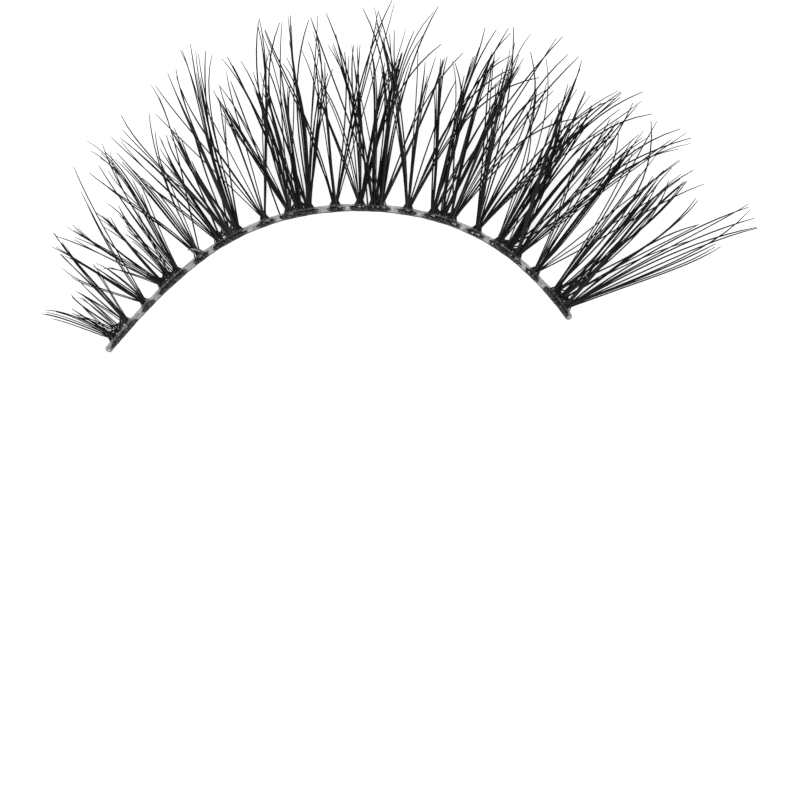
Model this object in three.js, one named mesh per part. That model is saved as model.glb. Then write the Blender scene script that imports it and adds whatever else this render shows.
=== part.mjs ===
// A strip of false eyelashes, lying belly down with its curl upwards: a clear band bent to the curve of the lid,
// and on it a row of knotted tufts of black hair, whose locks fan out, cross and curl up.
// Millimetres, +Z up. The origin is on the band's underside where the band is level, +X runs towards the outer
// corner of the eye, and +Y runs outwards along the middle lashes. Distances "along" are measured on the band's
// centre line from the origin, negative on the inner-corner side, and distances "out" from the band's outer edge.

import * as THREE from "three";

// The band: its centre line is a chain of arcs on either side of the origin, listed from the origin outwards.
const BAND_WIDTH = 0.46;
const BAND_THICKNESS = 0.28;
const BAND_CHAMFER = 0.05;
const MIDDLE_RADIUS = 18.5;
const INNER_SIDE_ARCS = [
  { length: 3.7, radius: MIDDLE_RADIUS },
  { length: 7, radius: 14.8 },
  { length: 4.4, radius: 30 },
  { length: 3.2, radius: 57 },
];
const OUTER_SIDE_ARCS = [
  { length: 4.3, radius: MIDDLE_RADIUS },
  { length: 7, radius: 13.6 },
  { length: 3.9, radius: 19 },
];

// A tuft's foot: it lies on the band, and past the band's outer edge it draws in to a waist, where the locks start.
const FOOT_WIDTH = 0.46;
const FOOT_THICKNESS = 0.16;
const WAIST_WIDTH = 0.36;
const WAIST_OUT = 0.25;

// The lashes: the reach is how far the longest one runs seen from above, and the curl is the rod it is set on.
const LASH_REACH = 12.7;
const CURL_RADIUS = 12;
const STEEPEST_TURN = 72;
const HAIR_WIDTH = 0.11;
const TIP_SIZE = 0.05;

// Where locks cross, the one that leans more to the inner corner runs over the other. The layer height is what
// parts two locks that lean a radian apart, far from the band, and it is half reached at the layer run.
const LAYER_HEIGHT = 2.2;
const LAYER_RUN = 3;

// Each hair after a lock's first one widens it by this share of a hair, and neighbouring locks of a tuft fill
// this share of the room between them.
const HAIR_PACKING = 0.55;
const LOCK_FILLING = 0.8;

// The foot from its back to the band's outer edge: places out as shares of the band's width, widths as shares
// of the foot's width.
const FOOT_ROWS = [
  { out: -0.86, width: 0.62 },
  { out: -0.3, width: 1 },
  { out: 0, width: 0.94 },
];

// The tufts from the inner corner to the outer one. "at" is the place along the band, as a share of its length.
// A lock's row gives its lean from the band's normal in degrees, positive towards the outer corner, its reach
// as a share of the longest lock's, its count of hairs and, where it bends, how many degrees it turns on the way.
const LOCK_COLUMNS = ["lean", "reach", "hairs", "bend"];
const TUFTS = [
  { at: 0.02, locks: [[-22, 0.35, 4], [-18, 0.34, 2], [-13, 0.22, 2], [-8, 0.23, 2], [2, 0.22, 2]] },
  { at: 0.037, locks: [[-19, 0.2, 2], [-5, 0.28, 2], [-1, 0.24, 2], [2, 0.22, 2]] },
  { at: 0.059, locks: [[-9, 0.27, 2], [0, 0.31, 2], [4, 0.45, 2], [9, 0.55, 4], [15, 0.31, 2]] },
  {
    at: 0.107,
    locks: [[-22, 0.42, 2], [-13, 0.51, 4], [-9, 0.29, 2], [-5, 0.29, 2], [14, 0.61, 2], [18, 0.73, 1]],
  },
  {
    at: 0.152,
    locks: [[-34, 0.28, 2, 16], [-20, 0.55, 2], [-16, 0.53, 4], [-6, 0.37, 2], [-1, 0.47, 3], [3, 0.41, 2]],
  },
  { at: 0.171, locks: [[-9, 0.39, 2], [-2, 0.29, 2], [2, 0.46, 2], [6, 0.42, 2], [13, 0.34, 2]] },
  {
    at: 0.189,
    locks: [[-7, 0.32, 2], [5, 0.63, 2], [8, 0.77, 4], [11, 0.71, 2], [15, 0.48, 2], [18, 0.45, 1]],
  },
  {
    at: 0.239,
    locks: [
      [-17, 0.65, 2], [-11, 0.59, 1], [-3, 0.62, 4], [0, 0.45, 1],
      [14, 0.5, 1], [19, 0.72, 2], [22, 0.84, 2],
    ],
  },
  {
    at: 0.283,
    locks: [[-20, 0.43, 2], [-14, 0.71, 2], [-10, 0.76, 3], [-2, 0.52, 2], [2, 0.57, 2], [7, 0.47, 2]],
  },
  {
    at: 0.304,
    locks: [[-17, 0.4, 2], [-11, 0.49, 2], [-5, 0.56, 2], [-1, 0.59, 3], [2, 0.57, 2], [8, 0.54, 2]],
  },
  {
    at: 0.322,
    locks: [[-6, 0.39, 2], [4, 0.83, 4], [9, 0.92, 4, 4], [12, 0.88, 2], [15, 0.86, 2], [18, 0.63, 2]],
  },
  {
    at: 0.374,
    locks: [
      [-25, 0.72, 1], [-20, 0.82, 1], [-12, 0.8, 2], [-8, 0.62, 1],
      [-1, 0.67, 2], [4, 0.72, 1], [19, 0.96, 3], [21, 0.81, 1],
    ],
  },
  {
    at: 0.42,
    locks: [
      [-21, 0.56, 1], [-18, 0.64, 4], [-15, 0.69, 2], [-3, 0.69, 4],
      [2, 0.58, 2], [10, 0.91, 1, 6], [13, 0.82, 1, 8],
    ],
  },
  { at: 0.439, locks: [[-14, 0.81, 2], [-11, 0.76, 1], [-4, 0.68, 2], [-1, 0.86, 2], [4, 0.67, 3]] },
  {
    at: 0.457,
    locks: [
      [-9, 0.61, 2], [-3, 0.72, 1], [2, 0.73, 4], [4, 0.92, 2],
      [10, 0.9, 2, 4], [12, 0.92, 2], [15, 0.65, 3], [19, 0.67, 1],
    ],
  },
  {
    at: 0.506,
    locks: [
      [-18, 0.9, 2], [-7, 0.76, 1], [-3, 0.83, 2], [-1, 0.68, 2],
      [7, 0.73, 1], [13, 0.77, 1], [18, 0.94, 2], [20, 1, 1],
    ],
  },
  {
    at: 0.55,
    locks: [
      [-21, 0.56, 3], [-18, 0.65, 2], [-5, 0.76, 2], [-1, 0.75, 3],
      [12, 0.72, 3], [14, 0.75, 3], [16, 0.86, 1],
    ],
  },
  { at: 0.575, locks: [[-19, 0.94, 3], [-16, 0.83, 1], [-4, 0.76, 4], [-1, 0.66, 1], [6, 0.68, 3]] },
  {
    at: 0.589,
    locks: [
      [-15, 0.77, 1], [1, 0.68, 3], [6, 0.69, 2], [9, 0.97, 2, 6],
      [16, 0.75, 2], [18, 0.76, 2], [20, 0.83, 1, 10],
    ],
  },
  {
    at: 0.637,
    locks: [
      [-21, 0.97, 2], [-18, 0.95, 3], [-16, 0.85, 2], [-5, 0.78, 1], [-2, 0.7, 3],
      [12, 0.65, 1], [14, 0.94, 2], [19, 0.85, 1, 12], [23, 0.85, 2, 16],
    ],
  },
  {
    at: 0.683,
    locks: [[-12, 0.59, 2], [-10, 0.75, 3], [1, 0.8, 4], [4, 0.53, 1], [8, 0.95, 1], [15, 0.81, 2]],
  },
  { at: 0.702, locks: [[-10, 0.74, 1, -8], [-5, 0.54, 2], [0, 0.82, 2], [5, 0.9, 3], [10, 0.85, 2]] },
  {
    at: 0.72,
    locks: [
      [-4, 0.81, 3], [1, 0.73, 3], [5, 0.8, 2], [10, 1, 1],
      [14, 0.79, 2], [17, 0.78, 1], [23, 0.77, 1],
    ],
  },
  {
    at: 0.769,
    locks: [
      [-20, 0.85, 2], [-17, 0.75, 3], [-14, 0.98, 2], [-5, 0.73, 2], [-1, 0.78, 2],
      [16, 0.85, 2], [19, 0.96, 2], [21, 0.95, 2], [24, 1, 1, 5],
    ],
  },
  {
    at: 0.813,
    locks: [
      [-20, 0.65, 1], [-17, 0.75, 1], [-15, 0.92, 1, -8], [-7, 0.82, 2],
      [-3, 0.83, 3], [2, 0.78, 2], [9, 0.86, 1],
    ],
  },
  { at: 0.834, locks: [[-15, 0.65, 1], [-9, 0.71, 2], [-3, 0.79, 2], [2, 0.78, 2], [6, 0.76, 4]] },
  {
    at: 0.854,
    locks: [
      [-22, 0.76, 3], [-20, 0.94, 3], [-17, 0.85, 1], [-4, 0.79, 2], [1, 0.92, 3, -4],
      [5, 0.82, 2], [11, 0.86, 2], [14, 1, 2], [17, 1, 2],
    ],
  },
  {
    at: 0.899,
    locks: [
      [-22, 0.65, 2], [-17, 0.75, 1], [-12, 0.77, 1, -6], [-7, 0.85, 4],
      [-5, 0.78, 2], [7, 0.87, 1], [12, 0.82, 1], [16, 0.91, 1],
    ],
  },
  {
    at: 0.948,
    locks: [
      [-20, 0.78, 1], [-16, 0.95, 1, -10], [-11, 0.81, 2, -6],
      [-7, 0.87, 3], [-5, 0.83, 2], [-1, 0.83, 2],
    ],
  },
  {
    at: 0.966,
    locks: [[-14, 0.74, 2], [-11, 0.82, 3], [-8, 0.78, 2], [-5, 0.82, 2], [11, 0.75, 1], [14, 0.69, 1]],
  },
  {
    at: 0.983,
    locks: [
      [-14, 0.74, 4], [-10, 0.83, 2], [-1, 0.81, 1], [7, 1, 1],
      [10, 1, 3], [13, 0.99, 2], [16, 0.79, 2],
    ],
  },
];

const STEPS_PER_ARC = 7;
const END_STEPS = 6;
const STATIONS_PER_REACH = 6;
const FEWEST_STATIONS = 3;

const { degToRad, lerp } = THREE.MathUtils;

// The plan direction of a heading, which is measured clockwise from +Y.
const direction = (heading) => new THREE.Vector2(Math.sin(heading), Math.cos(heading));

// The arcs of one side as they lie in plan: where each one starts along the band and what its normal's heading
// is there, where it ends, and its centre. Each arc takes over the heading in which the one before it ends.
function layArcs(rows, side) {
  const centre = new THREE.Vector2(0, -MIDDLE_RADIUS);
  let start = 0;
  let startHeading = 0;
  return rows.map(({ length, radius }, i) => {
    const end = start + side * length;
    const endHeading = startHeading + (end - start) / radius;
    const arc = { start, end, startHeading, endHeading, radius, centre: centre.clone() };
    const nextRadius = rows[i + 1]?.radius ?? radius;
    centre.addScaledVector(direction(endHeading), radius - nextRadius);
    start = end;
    startHeading = endHeading;
    return arc;
  });
}

const innerSide = layArcs(INNER_SIDE_ARCS, -1);
const outerSide = layArcs(OUTER_SIDE_ARCS, 1);
const innerEnd = innerSide.at(-1).end;
const outerEnd = outerSide.at(-1).end;

// The arc that holds a place along the band.
function arcAt(along) {
  const arcs = along < 0 ? innerSide : outerSide;
  return arcs.find(({ end }) => Math.abs(along) <= Math.abs(end)) ?? arcs.at(-1);
}

// The heading of the band's outward normal at a place along it.
function normalAt(along) {
  const { start, startHeading, radius } = arcAt(along);
  return startHeading + (along - start) / radius;
}

// The plan point at a place along the band, a distance outwards from its centre line.
function bandPoint(along, offset) {
  const { centre, radius } = arcAt(along);
  return centre.clone().addScaledVector(direction(normalAt(along)), radius + offset);
}

// How far a plan point lies out from the band's outer edge, whose end arcs run on past the band's ends.
function outFromBand(point) {
  const arcs = point.x < 0 ? innerSide : outerSide;
  const faces = ({ centre, endHeading }) =>
    Math.abs(Math.atan2(point.x - centre.x, point.y - centre.y)) <= Math.abs(endHeading);
  const { centre, radius } = arcs.find(faces) ?? arcs.at(-1);
  return point.distanceTo(centre) - radius - BAND_WIDTH / 2;
}

const bandLength = outerEnd - innerEnd;
const footHeight = BAND_THICKNESS + FOOT_THICKNESS / 2;
const bellyHeight = FOOT_THICKNESS / 2;
const bellyOut = Math.sqrt(BAND_THICKNESS * (2 * CURL_RADIUS - BAND_THICKNESS));
const tufts = TUFTS.map(({ at, locks }) => ({
  along: innerEnd + at * bandLength,
  locks: locks.map((row) => Object.fromEntries(LOCK_COLUMNS.map((name, i) => [name, row[i] ?? 0]))),
}));
const outermostLean = Math.max(...tufts.flatMap(({ locks }) => locks.map(({ lean }) => lean)));

// The height of the curled sheet of lashes: down to its belly near the table, up round the curl's radius, and
// straight on where the curl has reached its steepest.
function curlHeight(out) {
  const run = out - bellyOut;
  const steepest = CURL_RADIUS * Math.sin(degToRad(STEEPEST_TURN));
  const turned = Math.min(run, steepest);
  const straight = (run - turned) * Math.tan(degToRad(STEEPEST_TURN));
  return bellyHeight + CURL_RADIUS - Math.sqrt(CURL_RADIUS ** 2 - turned ** 2) + straight;
}

// How far a lock of a given lean is lifted over the outermost-leaning ones at a distance out.
function layerLift(lean, out) {
  return (LAYER_HEIGHT * degToRad(outermostLean - lean) * out) / (out + LAYER_RUN);
}

// A closed solid that grows from rings of four points: left bottom, right bottom, right top and left top, seen
// along the way from the band to the tips.
class RingSolid {
  positions = [];
  index = [];

  point(x, y, z) {
    this.positions.push(x, y, z);
    return this.positions.length / 3 - 1;
  }

  triangle(a, b, c) {
    this.index.push(a, b, c);
  }

  quad(a, b, c, d) {
    this.triangle(a, b, c);
    this.triangle(a, c, d);
  }

  join(behind, ahead) {
    for (let i = 0; i < 4; i++) {
      const j = (i + 1) % 4;
      this.quad(behind[i], ahead[i], ahead[j], behind[j]);
    }
  }

  closeBack(ring) {
    this.quad(...ring);
  }

  closeTip(ring) {
    this.quad(...ring.toReversed());
  }

  geometry() {
    const made = new THREE.BufferGeometry();
    made.setAttribute("position", new THREE.Float32BufferAttribute(this.positions, 3));
    made.setIndex(this.index);
    made.computeVertexNormals();
    return made;
  }
}

// The clear band: its outline goes out along the outer edge, round the outer-corner end, back along the inner
// edge and round the inner-corner end.
function bandGeometry() {
  const reach = BAND_WIDTH / 2;
  const places = [innerEnd];
  for (const { start, end } of [...innerSide.toReversed(), ...outerSide]) {
    const from = Math.min(start, end);
    for (let step = 1; step <= STEPS_PER_ARC; step++) {
      places.push(from + (Math.abs(end - start) * step) / STEPS_PER_ARC);
    }
  }
  const roundEnd = (along, turn) => {
    const headings = Array.from({ length: END_STEPS - 1 }, (_, i) => (Math.PI * (i + 1)) / END_STEPS);
    return headings.map((heading) =>
      bandPoint(along, 0).addScaledVector(direction(normalAt(along) + turn + heading), reach),
    );
  };
  const outline = [
    ...places.map((along) => bandPoint(along, reach)),
    ...roundEnd(outerEnd, 0),
    ...places.toReversed().map((along) => bandPoint(along, -reach)),
    ...roundEnd(innerEnd, Math.PI),
  ];
  const made = new THREE.ExtrudeGeometry(new THREE.Shape(outline), {
    depth: BAND_THICKNESS - 2 * BAND_CHAMFER,
    bevelThickness: BAND_CHAMFER,
    bevelSize: BAND_CHAMFER,
    bevelOffset: -BAND_CHAMFER,
    bevelSegments: 1,
  });
  return made.translate(0, 0, BAND_CHAMFER);
}

// A ring across the foot: a distance out from the band's outer edge, with its width and its middle's height.
function footRing(solid, along, out, width, height) {
  const middle = bandPoint(along, BAND_WIDTH / 2 + out);
  const heading = normalAt(along);
  const corner = (side, level) =>
    solid.point(
      middle.x + side * (width / 2) * Math.cos(heading),
      middle.y - side * (width / 2) * Math.sin(heading),
      height + level * (FOOT_THICKNESS / 2),
    );
  return [corner(-1, -1), corner(1, -1), corner(1, 1), corner(-1, 1)];
}

// The stations of a lock from the waist to its tip: the middle, the heading and the share of the way.
function lockStations(waistPoint, normal, { lean, reach, bend }) {
  const count = Math.max(FEWEST_STATIONS, Math.round(reach * STATIONS_PER_REACH));
  const headingAt = (share) => normal + degToRad(lean + bend * share ** 2);
  const plan = waistPoint.clone();
  const stations = [];
  for (let k = 0; k <= count; k++) {
    const out = outFromBand(plan);
    const height = curlHeight(out) + layerLift(lean, out);
    stations.push({
      share: k / count,
      heading: headingAt(k / count),
      middle: new THREE.Vector3(plan.x, plan.y, height),
    });
    plan.addScaledVector(direction(headingAt((k + 0.5) / count)), (reach * LASH_REACH) / count);
  }
  return stations;
}

// A tuft: the foot, and from its waist one lock beside the other, in the order of their leans.
function tuftGeometry({ along, locks }) {
  const solid = new RingSolid();
  const normal = normalAt(along);
  const across = direction(normal + Math.PI / 2);

  let ring = null;
  for (const row of FOOT_ROWS) {
    const next = footRing(solid, along, row.out * BAND_WIDTH, row.width * FOOT_WIDTH, footHeight);
    if (ring) solid.join(ring, next);
    else solid.closeBack(next);
    ring = next;
  }

  // The waist is shared out between the locks by their hairs.
  const hairsInAll = locks.reduce((sum, { hairs }) => sum + hairs, 0);
  const rootWidths = locks.map(({ hairs }) => (WAIST_WIDTH * hairs) / hairsInAll);
  const waist = bandPoint(along, BAND_WIDTH / 2 + WAIST_OUT);
  const waistHeight = curlHeight(WAIST_OUT);
  const edges = [-WAIST_WIDTH / 2];
  for (const width of rootWidths) edges.push(edges.at(-1) + width);
  const columns = edges.map((edge) => {
    const { x, y } = waist.clone().addScaledVector(across, edge);
    return {
      bottom: solid.point(x, y, waistHeight - FOOT_THICKNESS / 2),
      top: solid.point(x, y, waistHeight + FOOT_THICKNESS / 2),
    };
  });
  const [leftBottom, rightBottom, rightTop, leftTop] = ring;
  const last = columns.at(-1);
  for (let i = 0; i < locks.length; i++) {
    solid.triangle(leftBottom, columns[i].bottom, columns[i + 1].bottom);
    solid.triangle(rightTop, columns[i + 1].top, columns[i].top);
  }
  solid.triangle(leftBottom, last.bottom, rightBottom);
  solid.triangle(rightTop, columns[0].top, leftTop);
  solid.quad(rightBottom, last.bottom, last.top, rightTop);
  solid.quad(leftTop, columns[0].top, columns[0].bottom, leftBottom);

  locks.forEach((lock, i) => {
    const { lean, reach, hairs } = lock;
    const root = waist.clone().addScaledVector(across, (edges[i] + edges[i + 1]) / 2);
    const stations = lockStations(root, normal, lock);
    const neighbours = [locks[i - 1], locks[i + 1]].filter(Boolean);
    const parting = neighbours.reduce((sum, other) => sum + Math.abs(other.lean - lean), 0) / neighbours.length;
    const fullWidth = HAIR_WIDTH * (1 + HAIR_PACKING * (hairs - 1));
    let behind = [columns[i].bottom, columns[i + 1].bottom, columns[i + 1].top, columns[i].top];
    for (let k = 1; k < stations.length; k++) {
      const { share, heading, middle } = stations[k];
      const room = rootWidths[i] + LOCK_FILLING * degToRad(parting) * share * reach * LASH_REACH;
      const width = Math.min(lerp(fullWidth, TIP_SIZE, share), room);
      const thickness = lerp(FOOT_THICKNESS, TIP_SIZE, share);
      const sideways = new THREE.Vector3(Math.cos(heading), -Math.sin(heading), 0);
      const forwards = stations[Math.min(k + 1, stations.length - 1)].middle.clone().sub(stations[k - 1].middle);
      const upwards = sideways.clone().cross(forwards).normalize();
      const corner = (side, level) => {
        const { x, y, z } = middle
          .clone()
          .addScaledVector(sideways, (side * width) / 2)
          .addScaledVector(upwards, (level * thickness) / 2);
        return solid.point(x, y, z);
      };
      const ahead = [corner(-1, -1), corner(1, -1), corner(1, 1), corner(-1, 1)];
      solid.join(behind, ahead);
      behind = ahead;
    }
    solid.closeTip(behind);
  });
  return solid.geometry();
}

const clearBand = new THREE.MeshStandardMaterial({
  color: 0xa4a7a8,
  roughness: 0.25,
  metalness: 0,
  transparent: true,
  opacity: 0.6,
});
const blackHair = new THREE.MeshStandardMaterial({ color: 0x0b0b0c, roughness: 0.4, metalness: 0 });

const strip = new THREE.Group();
strip.name = "false_eyelash_strip";

const band = new THREE.Mesh(bandGeometry(), clearBand);
band.name = "band";
strip.add(band);

tufts.forEach((tuft, i) => {
  const mesh = new THREE.Mesh(tuftGeometry(tuft), blackHair);
  mesh.name = "tuft_" + String(i + 1).padStart(2, "0");
  strip.add(mesh);
});

export default strip;
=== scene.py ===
"""Dresses a strip of false eyelashes: a clear band with black knots, and on it tufts of fine black lashes.

Lengths are in millimetres until a mesh is made, and Blender's own metres from there on.
"""

import logging
import math
from collections.abc import Callable
from dataclasses import dataclass, field
from enum import Enum
from typing import NamedTuple

import bpy
import numpy as np
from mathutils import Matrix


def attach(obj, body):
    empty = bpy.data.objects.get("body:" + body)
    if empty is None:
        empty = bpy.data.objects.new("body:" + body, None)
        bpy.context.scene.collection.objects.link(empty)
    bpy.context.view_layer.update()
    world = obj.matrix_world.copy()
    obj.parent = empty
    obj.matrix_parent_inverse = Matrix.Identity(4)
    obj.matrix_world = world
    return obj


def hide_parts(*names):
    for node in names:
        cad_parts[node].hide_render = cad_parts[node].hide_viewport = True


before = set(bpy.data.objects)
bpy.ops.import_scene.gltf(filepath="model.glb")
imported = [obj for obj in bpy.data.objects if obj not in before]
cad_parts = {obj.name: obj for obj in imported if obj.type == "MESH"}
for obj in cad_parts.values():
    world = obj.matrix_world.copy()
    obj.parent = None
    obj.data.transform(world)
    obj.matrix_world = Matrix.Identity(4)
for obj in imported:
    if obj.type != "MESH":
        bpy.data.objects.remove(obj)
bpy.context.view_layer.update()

log = logging.getLogger("lashes")

MM = 0.001
BODY = "root"


class Slot(Enum):
    """Two material slots, by name."""

    BAND = "clear_band"
    HAIR = "black_hair"


class Part(Enum):
    """The parts of a mesh that can be picked."""

    VERTEX = "VERT"
    EDGE = "EDGE"
    FACE = "FACE"


class Side(Enum):
    """The two ways along the band from the origin."""

    INNER = -1
    OUTER = 1


class Lock(NamedTuple):
    """A lock of a tuft.

    Its lean from the band's normal is in degrees, positive towards the outer corner. Its reach is a share
    of the longest lock's, hairs is its count of hairs side by side, and bend is how many degrees it turns.
    """

    lean: float
    reach: float
    hairs: int
    bend: float = 0.0


class Sway(NamedTuple):
    """How a hair curves, in degrees.

    It turns evenly all the way for its bow, more and more for its bend, and near the tip for its flick.
    """

    bow: float
    bend: float
    flick: float

    def turned(self, share: float) -> float:
        """How far it has turned from its lean at a share of its reach."""
        return self.bow * (2.0 * share - 1.0) + self.bend * share**2 + self.flick * share**4


class Tuft(NamedTuple):
    """A tuft: its place as a share of the band's length from the inner corner, and its locks."""

    at: float
    locks: tuple[Lock, ...]


def tuft(at: float, *rows: tuple[float, ...]) -> Tuft:
    """One row of the chart.

    Args:
        at: the place as a share of the band's length.
        rows: the locks as lean, reach, hairs and, where it bends, bend.

    Returns:
        The tuft.
    """
    return Tuft(at, tuple(Lock(*row) for row in rows))


TUFTS: tuple[Tuft, ...] = (
    tuft(0.02, (-22, 0.35, 4), (-18, 0.34, 2), (-13, 0.22, 2), (-8, 0.23, 2), (2, 0.22, 2)),
    tuft(0.037, (-19, 0.2, 2), (-5, 0.28, 2), (-1, 0.24, 2), (2, 0.22, 2)),
    tuft(0.059, (-9, 0.27, 2), (0, 0.31, 2), (4, 0.45, 2), (9, 0.55, 4), (15, 0.31, 2)),
    tuft(
        0.107,
        (-22, 0.42, 2), (-13, 0.51, 4), (-9, 0.29, 2),
        (-5, 0.29, 2), (14, 0.61, 2), (18, 0.73, 1),
    ),
    tuft(
        0.152,
        (-34, 0.28, 2, 16), (-20, 0.55, 2), (-16, 0.53, 4),
        (-6, 0.37, 2), (-1, 0.47, 3), (3, 0.41, 2),
    ),
    tuft(0.171, (-9, 0.39, 2), (-2, 0.29, 2), (2, 0.46, 2), (6, 0.42, 2), (13, 0.34, 2)),
    tuft(0.189, (-7, 0.32, 2), (5, 0.63, 2), (8, 0.77, 4), (11, 0.71, 2), (15, 0.48, 2), (18, 0.45, 1)),
    tuft(
        0.239,
        (-17, 0.65, 2), (-11, 0.59, 1), (-3, 0.62, 4), (0, 0.45, 1),
        (14, 0.5, 1), (19, 0.72, 2), (22, 0.84, 2),
    ),
    tuft(
        0.283,
        (-20, 0.43, 2), (-14, 0.71, 2), (-10, 0.76, 3),
        (-2, 0.52, 2), (2, 0.57, 2), (7, 0.47, 2),
    ),
    tuft(0.304, (-17, 0.4, 2), (-11, 0.49, 2), (-5, 0.56, 2), (-1, 0.59, 3), (2, 0.57, 2), (8, 0.54, 2)),
    tuft(
        0.322,
        (-6, 0.39, 2), (4, 0.83, 4), (9, 0.92, 4, 4),
        (12, 0.88, 2), (15, 0.86, 2), (18, 0.63, 2),
    ),
    tuft(
        0.374,
        (-25, 0.72, 1), (-20, 0.82, 1), (-12, 0.8, 2), (-8, 0.62, 1),
        (-1, 0.67, 2), (4, 0.72, 1), (19, 0.96, 3), (21, 0.81, 1),
    ),
    tuft(
        0.42,
        (-21, 0.56, 1), (-18, 0.64, 4), (-15, 0.69, 2), (-3, 0.69, 4),
        (2, 0.58, 2), (10, 0.91, 1, 6), (13, 0.82, 1, 8),
    ),
    tuft(0.439, (-14, 0.81, 2), (-11, 0.76, 1), (-4, 0.68, 2), (-1, 0.86, 2), (4, 0.67, 3)),
    tuft(
        0.457,
        (-9, 0.61, 2), (-3, 0.72, 1), (2, 0.73, 4), (4, 0.92, 2),
        (10, 0.9, 2, 4), (12, 0.92, 2), (15, 0.65, 3), (19, 0.67, 1),
    ),
    tuft(
        0.506,
        (-18, 0.9, 2), (-7, 0.76, 1), (-3, 0.83, 2), (-1, 0.68, 2),
        (7, 0.73, 1), (13, 0.77, 1), (18, 0.94, 2), (20, 1, 1),
    ),
    tuft(
        0.55,
        (-21, 0.56, 3), (-18, 0.65, 2), (-5, 0.76, 2), (-1, 0.75, 3),
        (12, 0.72, 3), (14, 0.75, 3), (16, 0.86, 1),
    ),
    tuft(0.575, (-19, 0.94, 3), (-16, 0.83, 1), (-4, 0.76, 4), (-1, 0.66, 1), (6, 0.68, 3)),
    tuft(
        0.589,
        (-15, 0.77, 1), (1, 0.68, 3), (6, 0.69, 2), (9, 0.97, 2, 6),
        (16, 0.75, 2), (18, 0.76, 2), (20, 0.83, 1, 10),
    ),
    tuft(
        0.637,
        (-21, 0.97, 2), (-18, 0.95, 3), (-16, 0.85, 2), (-5, 0.78, 1), (-2, 0.7, 3),
        (12, 0.65, 1), (14, 0.94, 2), (19, 0.85, 1, 12), (23, 0.85, 2, 16),
    ),
    tuft(0.683, (-12, 0.59, 2), (-10, 0.75, 3), (1, 0.8, 4), (4, 0.53, 1), (8, 0.95, 1), (15, 0.81, 2)),
    tuft(0.702, (-10, 0.74, 1, -8), (-5, 0.54, 2), (0, 0.82, 2), (5, 0.9, 3), (10, 0.85, 2)),
    tuft(
        0.72,
        (-4, 0.81, 3), (1, 0.73, 3), (5, 0.8, 2), (10, 1, 1),
        (14, 0.79, 2), (17, 0.78, 1), (23, 0.77, 1),
    ),
    tuft(
        0.769,
        (-20, 0.85, 2), (-17, 0.75, 3), (-14, 0.98, 2), (-5, 0.73, 2), (-1, 0.78, 2),
        (16, 0.85, 2), (19, 0.96, 2), (21, 0.95, 2), (24, 1, 1, 5),
    ),
    tuft(
        0.813,
        (-20, 0.65, 1), (-17, 0.75, 1), (-15, 0.92, 1, -8), (-7, 0.82, 2),
        (-3, 0.83, 3), (2, 0.78, 2), (9, 0.86, 1),
    ),
    tuft(0.834, (-15, 0.65, 1), (-9, 0.71, 2), (-3, 0.79, 2), (2, 0.78, 2), (6, 0.76, 4)),
    tuft(
        0.854,
        (-22, 0.76, 3), (-20, 0.94, 3), (-17, 0.85, 1), (-4, 0.79, 2), (1, 0.92, 3, -4),
        (5, 0.82, 2), (11, 0.86, 2), (14, 1, 2), (17, 1, 2),
    ),
    tuft(
        0.899,
        (-22, 0.65, 2), (-17, 0.75, 1), (-12, 0.77, 1, -6), (-7, 0.85, 4),
        (-5, 0.78, 2), (7, 0.87, 1), (12, 0.82, 1), (16, 0.91, 1),
    ),
    tuft(
        0.948,
        (-20, 0.78, 1), (-16, 0.95, 1, -10), (-11, 0.81, 2, -6),
        (-7, 0.87, 3), (-5, 0.83, 2), (-1, 0.83, 2),
    ),
    tuft(
        0.966,
        (-14, 0.74, 2), (-11, 0.82, 3), (-8, 0.78, 2),
        (-5, 0.82, 2), (11, 0.75, 1), (14, 0.69, 1),
    ),
    tuft(
        0.983,
        (-14, 0.74, 4), (-10, 0.83, 2), (-1, 0.81, 1), (7, 1, 1),
        (10, 1, 1), (13, 0.99, 1), (16, 0.79, 2),
    ),
)


def smooth(share: float) -> float:
    """A soft start and stop between 0 and 1."""
    held = min(max(share, 0.0), 1.0)
    return held * held * (3.0 - 2.0 * held)


def mix(start: float | np.ndarray, end: float | np.ndarray, share: float) -> float | np.ndarray:
    """The value or point that lies this share of the way from start to end."""
    return start + (end - start) * share


def along_heading(heading: float) -> np.ndarray:
    """The plan direction of a heading, which is measured clockwise from +Y in radians."""
    return np.array((math.sin(heading), math.cos(heading)))


def across_heading(heading: float) -> np.ndarray:
    """The plan direction to the right of a heading."""
    return np.array((math.cos(heading), -math.sin(heading)))


def deselect() -> None:
    """Leaves nothing selected, so that an operator acts on the new piece alone."""
    for thing in bpy.context.selected_objects:
        thing.select_set(False)


def take(*things: bpy.types.Object) -> None:
    """Selects some objects alone and makes the first one active.

    Args:
        things: the objects.
    """
    deselect()
    for thing in things:
        thing.select_set(True)
    bpy.context.view_layer.objects.active = things[0]


def read_points(mesh: bpy.types.Mesh) -> np.ndarray:
    """Reads a mesh's vertices.

    Args:
        mesh: the mesh.

    Returns:
        A row of x, y and z for each vertex.
    """
    flat = np.empty(len(mesh.vertices) * 3)
    mesh.vertices.foreach_get("co", flat)
    return flat.reshape(-1, 3)


def write_points(mesh: bpy.types.Mesh, points: np.ndarray) -> None:
    """Moves the mesh's vertices to these rows of x, y and z."""
    mesh.vertices.foreach_set("co", np.ascontiguousarray(points).ravel())
    mesh.update()


def copy_of(model: bpy.types.Object) -> bpy.types.Object:
    """Copies a model.

    Args:
        model: the piece that repeats.

    Returns:
        The copy, with its own mesh.
    """
    copy = model.copy()
    copy.data = model.data.copy()
    bpy.context.collection.objects.link(copy)
    return copy


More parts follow.
